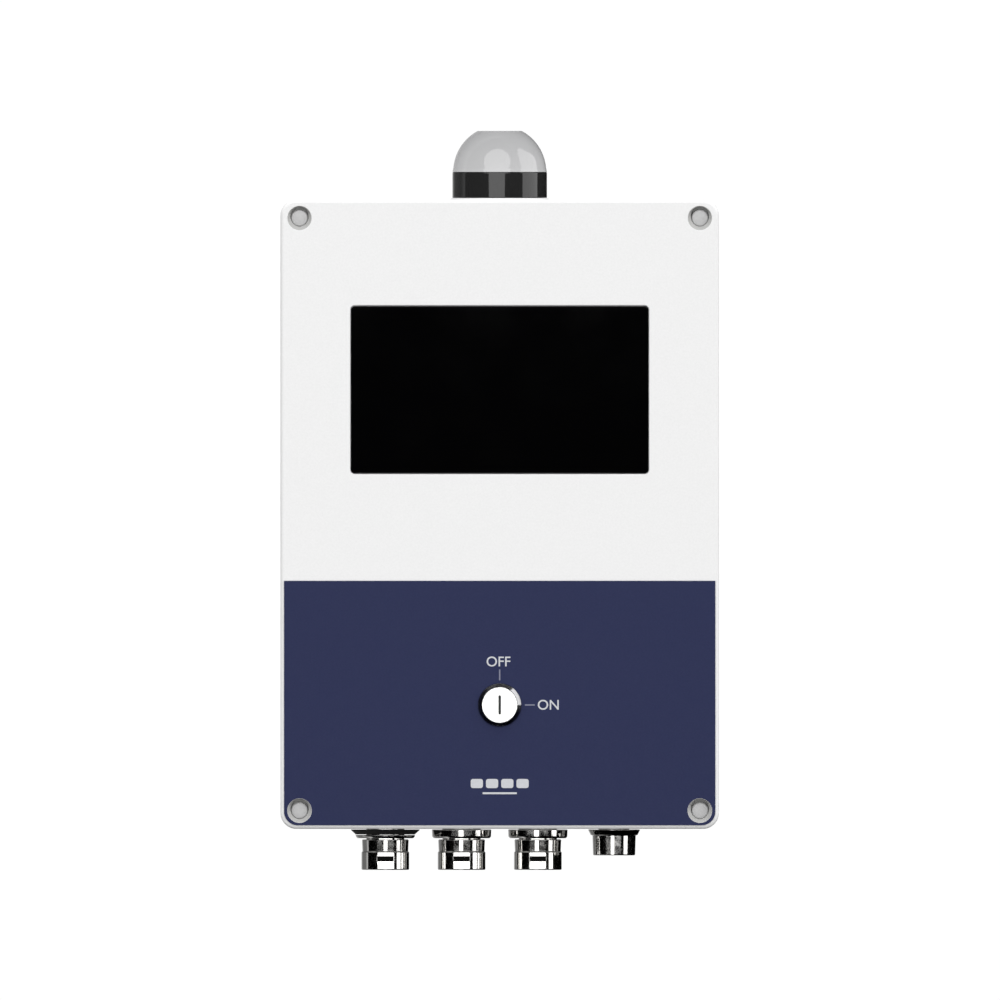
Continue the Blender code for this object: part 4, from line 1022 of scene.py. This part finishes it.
def world_mix(tree, factor, first, second):
    node = tree.nodes.new("ShaderNodeMix")
    node.data_type = "FLOAT"
    return world_value(tree, node, ("Factor", factor), ("A", first), ("B", second)).outputs["Result"]


def world_range(tree, source, low, high, shape="LINEAR"):
    """0 at low and 1 at high."""
    node = tree.nodes.new("ShaderNodeMapRange")
    node.interpolation_type = shape
    return world_value(tree, node, ("Value", source), ("From Min", low), ("From Max", high)).outputs["Result"]


def build_world():
    """Even light, stronger from above, in front and the right.

    Mirror reflections see a dark room instead, with a grey wall at the back left, and the camera sees white.
    """
    world = bpy.data.worlds.new("studio")
    bpy.context.scene.world = world
    world.use_nodes = True
    tree = world.node_tree
    background = tree.nodes["Background"]
    background.inputs["Color"].default_value = (1.0, 1.0, 1.0, 1.0)
    where = tree.nodes.new("ShaderNodeTexCoord")
    axes = tree.nodes.new("ShaderNodeSeparateXYZ")
    tree.links.new(where.outputs["Generated"], axes.inputs["Vector"])
    raised = world_math(tree, "MULTIPLY_ADD", axes.outputs["Z"], LIGHT_ABOVE, LIGHT_EVEN)
    fronted = world_math(tree, "MULTIPLY_ADD", axes.outputs["Y"], -LIGHT_FRONT, raised)
    sided = world_math(tree, "MULTIPLY_ADD", axes.outputs["X"], LIGHT_RIGHT, fronted)
    fill = world_math(tree, "MAXIMUM", sided, 0.0)
    wall = tree.nodes.new("ShaderNodeValToRGB")
    tree.links.new(world_range(tree, axes.outputs["Y"], -1.0, 1.0), wall.inputs["Fac"])
    stops = wall.color_ramp.elements
    front_stop, *between, back_stop = ROOM_WALL
    stops[0].position = front_stop[0]
    stops[1].position = back_stop[0]
    stops[0].color = (front_stop[1], front_stop[1], front_stop[1], 1.0)
    stops[1].color = (back_stop[1], back_stop[1], back_stop[1], 1.0)
    for position, grey in between:
        stops.new(position).color = (grey, grey, grey, 1.0)
    left = world_range(tree, axes.outputs["X"], 0.3, -0.1, "SMOOTHSTEP")
    room = world_math(tree, "MULTIPLY", wall.outputs["Color"], left)
    path = tree.nodes.new("ShaderNodeLightPath")
    mirrored = world_mix(tree, path.outputs["Is Glossy Ray"], fill, room)
    seen = world_mix(tree, path.outputs["Is Camera Ray"], mirrored, BACKDROP)
    tree.links.new(seen, background.inputs["Strength"])


def build_stage():
    """A floor far below, which neither reflects nor bounces light, the softboxes and the world."""
    shape = bmesh.new()
    bmesh.ops.create_grid(shape, x_segments=1, y_segments=1, size=4.0)
    floor = finish_mesh("floor", shape, new_material("floor", (0.85, 0.85, 0.85), 0.8))
    floor.location = (0.0, 0.0, FLOOR_HEIGHT)
    floor.visible_glossy = False
    floor.visible_diffuse = False
    build_softboxes()
    build_world()


def build_camera():
    """A straight front view without perspective."""
    camera = bpy.data.cameras.new("camera")
    camera.type = "ORTHO"
    camera.ortho_scale = IMAGE_WIDTH
    made = bpy.data.objects.new("camera", camera)
    bpy.context.scene.collection.objects.link(made)
    made.location = CAMERA_PLACE
    made.rotation_euler = (math.radians(90), 0.0, 0.0)
    camera.clip_end = 20.0
    bpy.context.scene.camera = made


build_lid()
build_screw_seats()
build_base()
build_lid_screws()
build_window()
build_overlay()
build_legends()
build_key()
build_beacon_base()
build_beacon_dome()
for connector in (1, 2, 3):
    build_power_connector(connector)
build_signal_connector()
soften_node("heat_sink", 0.25 * MM)
soften_node("wall_bracket", 0.4 * MM)
build_stage()
build_camera()
bpy.context.scene.view_settings.view_transform = "Standard"
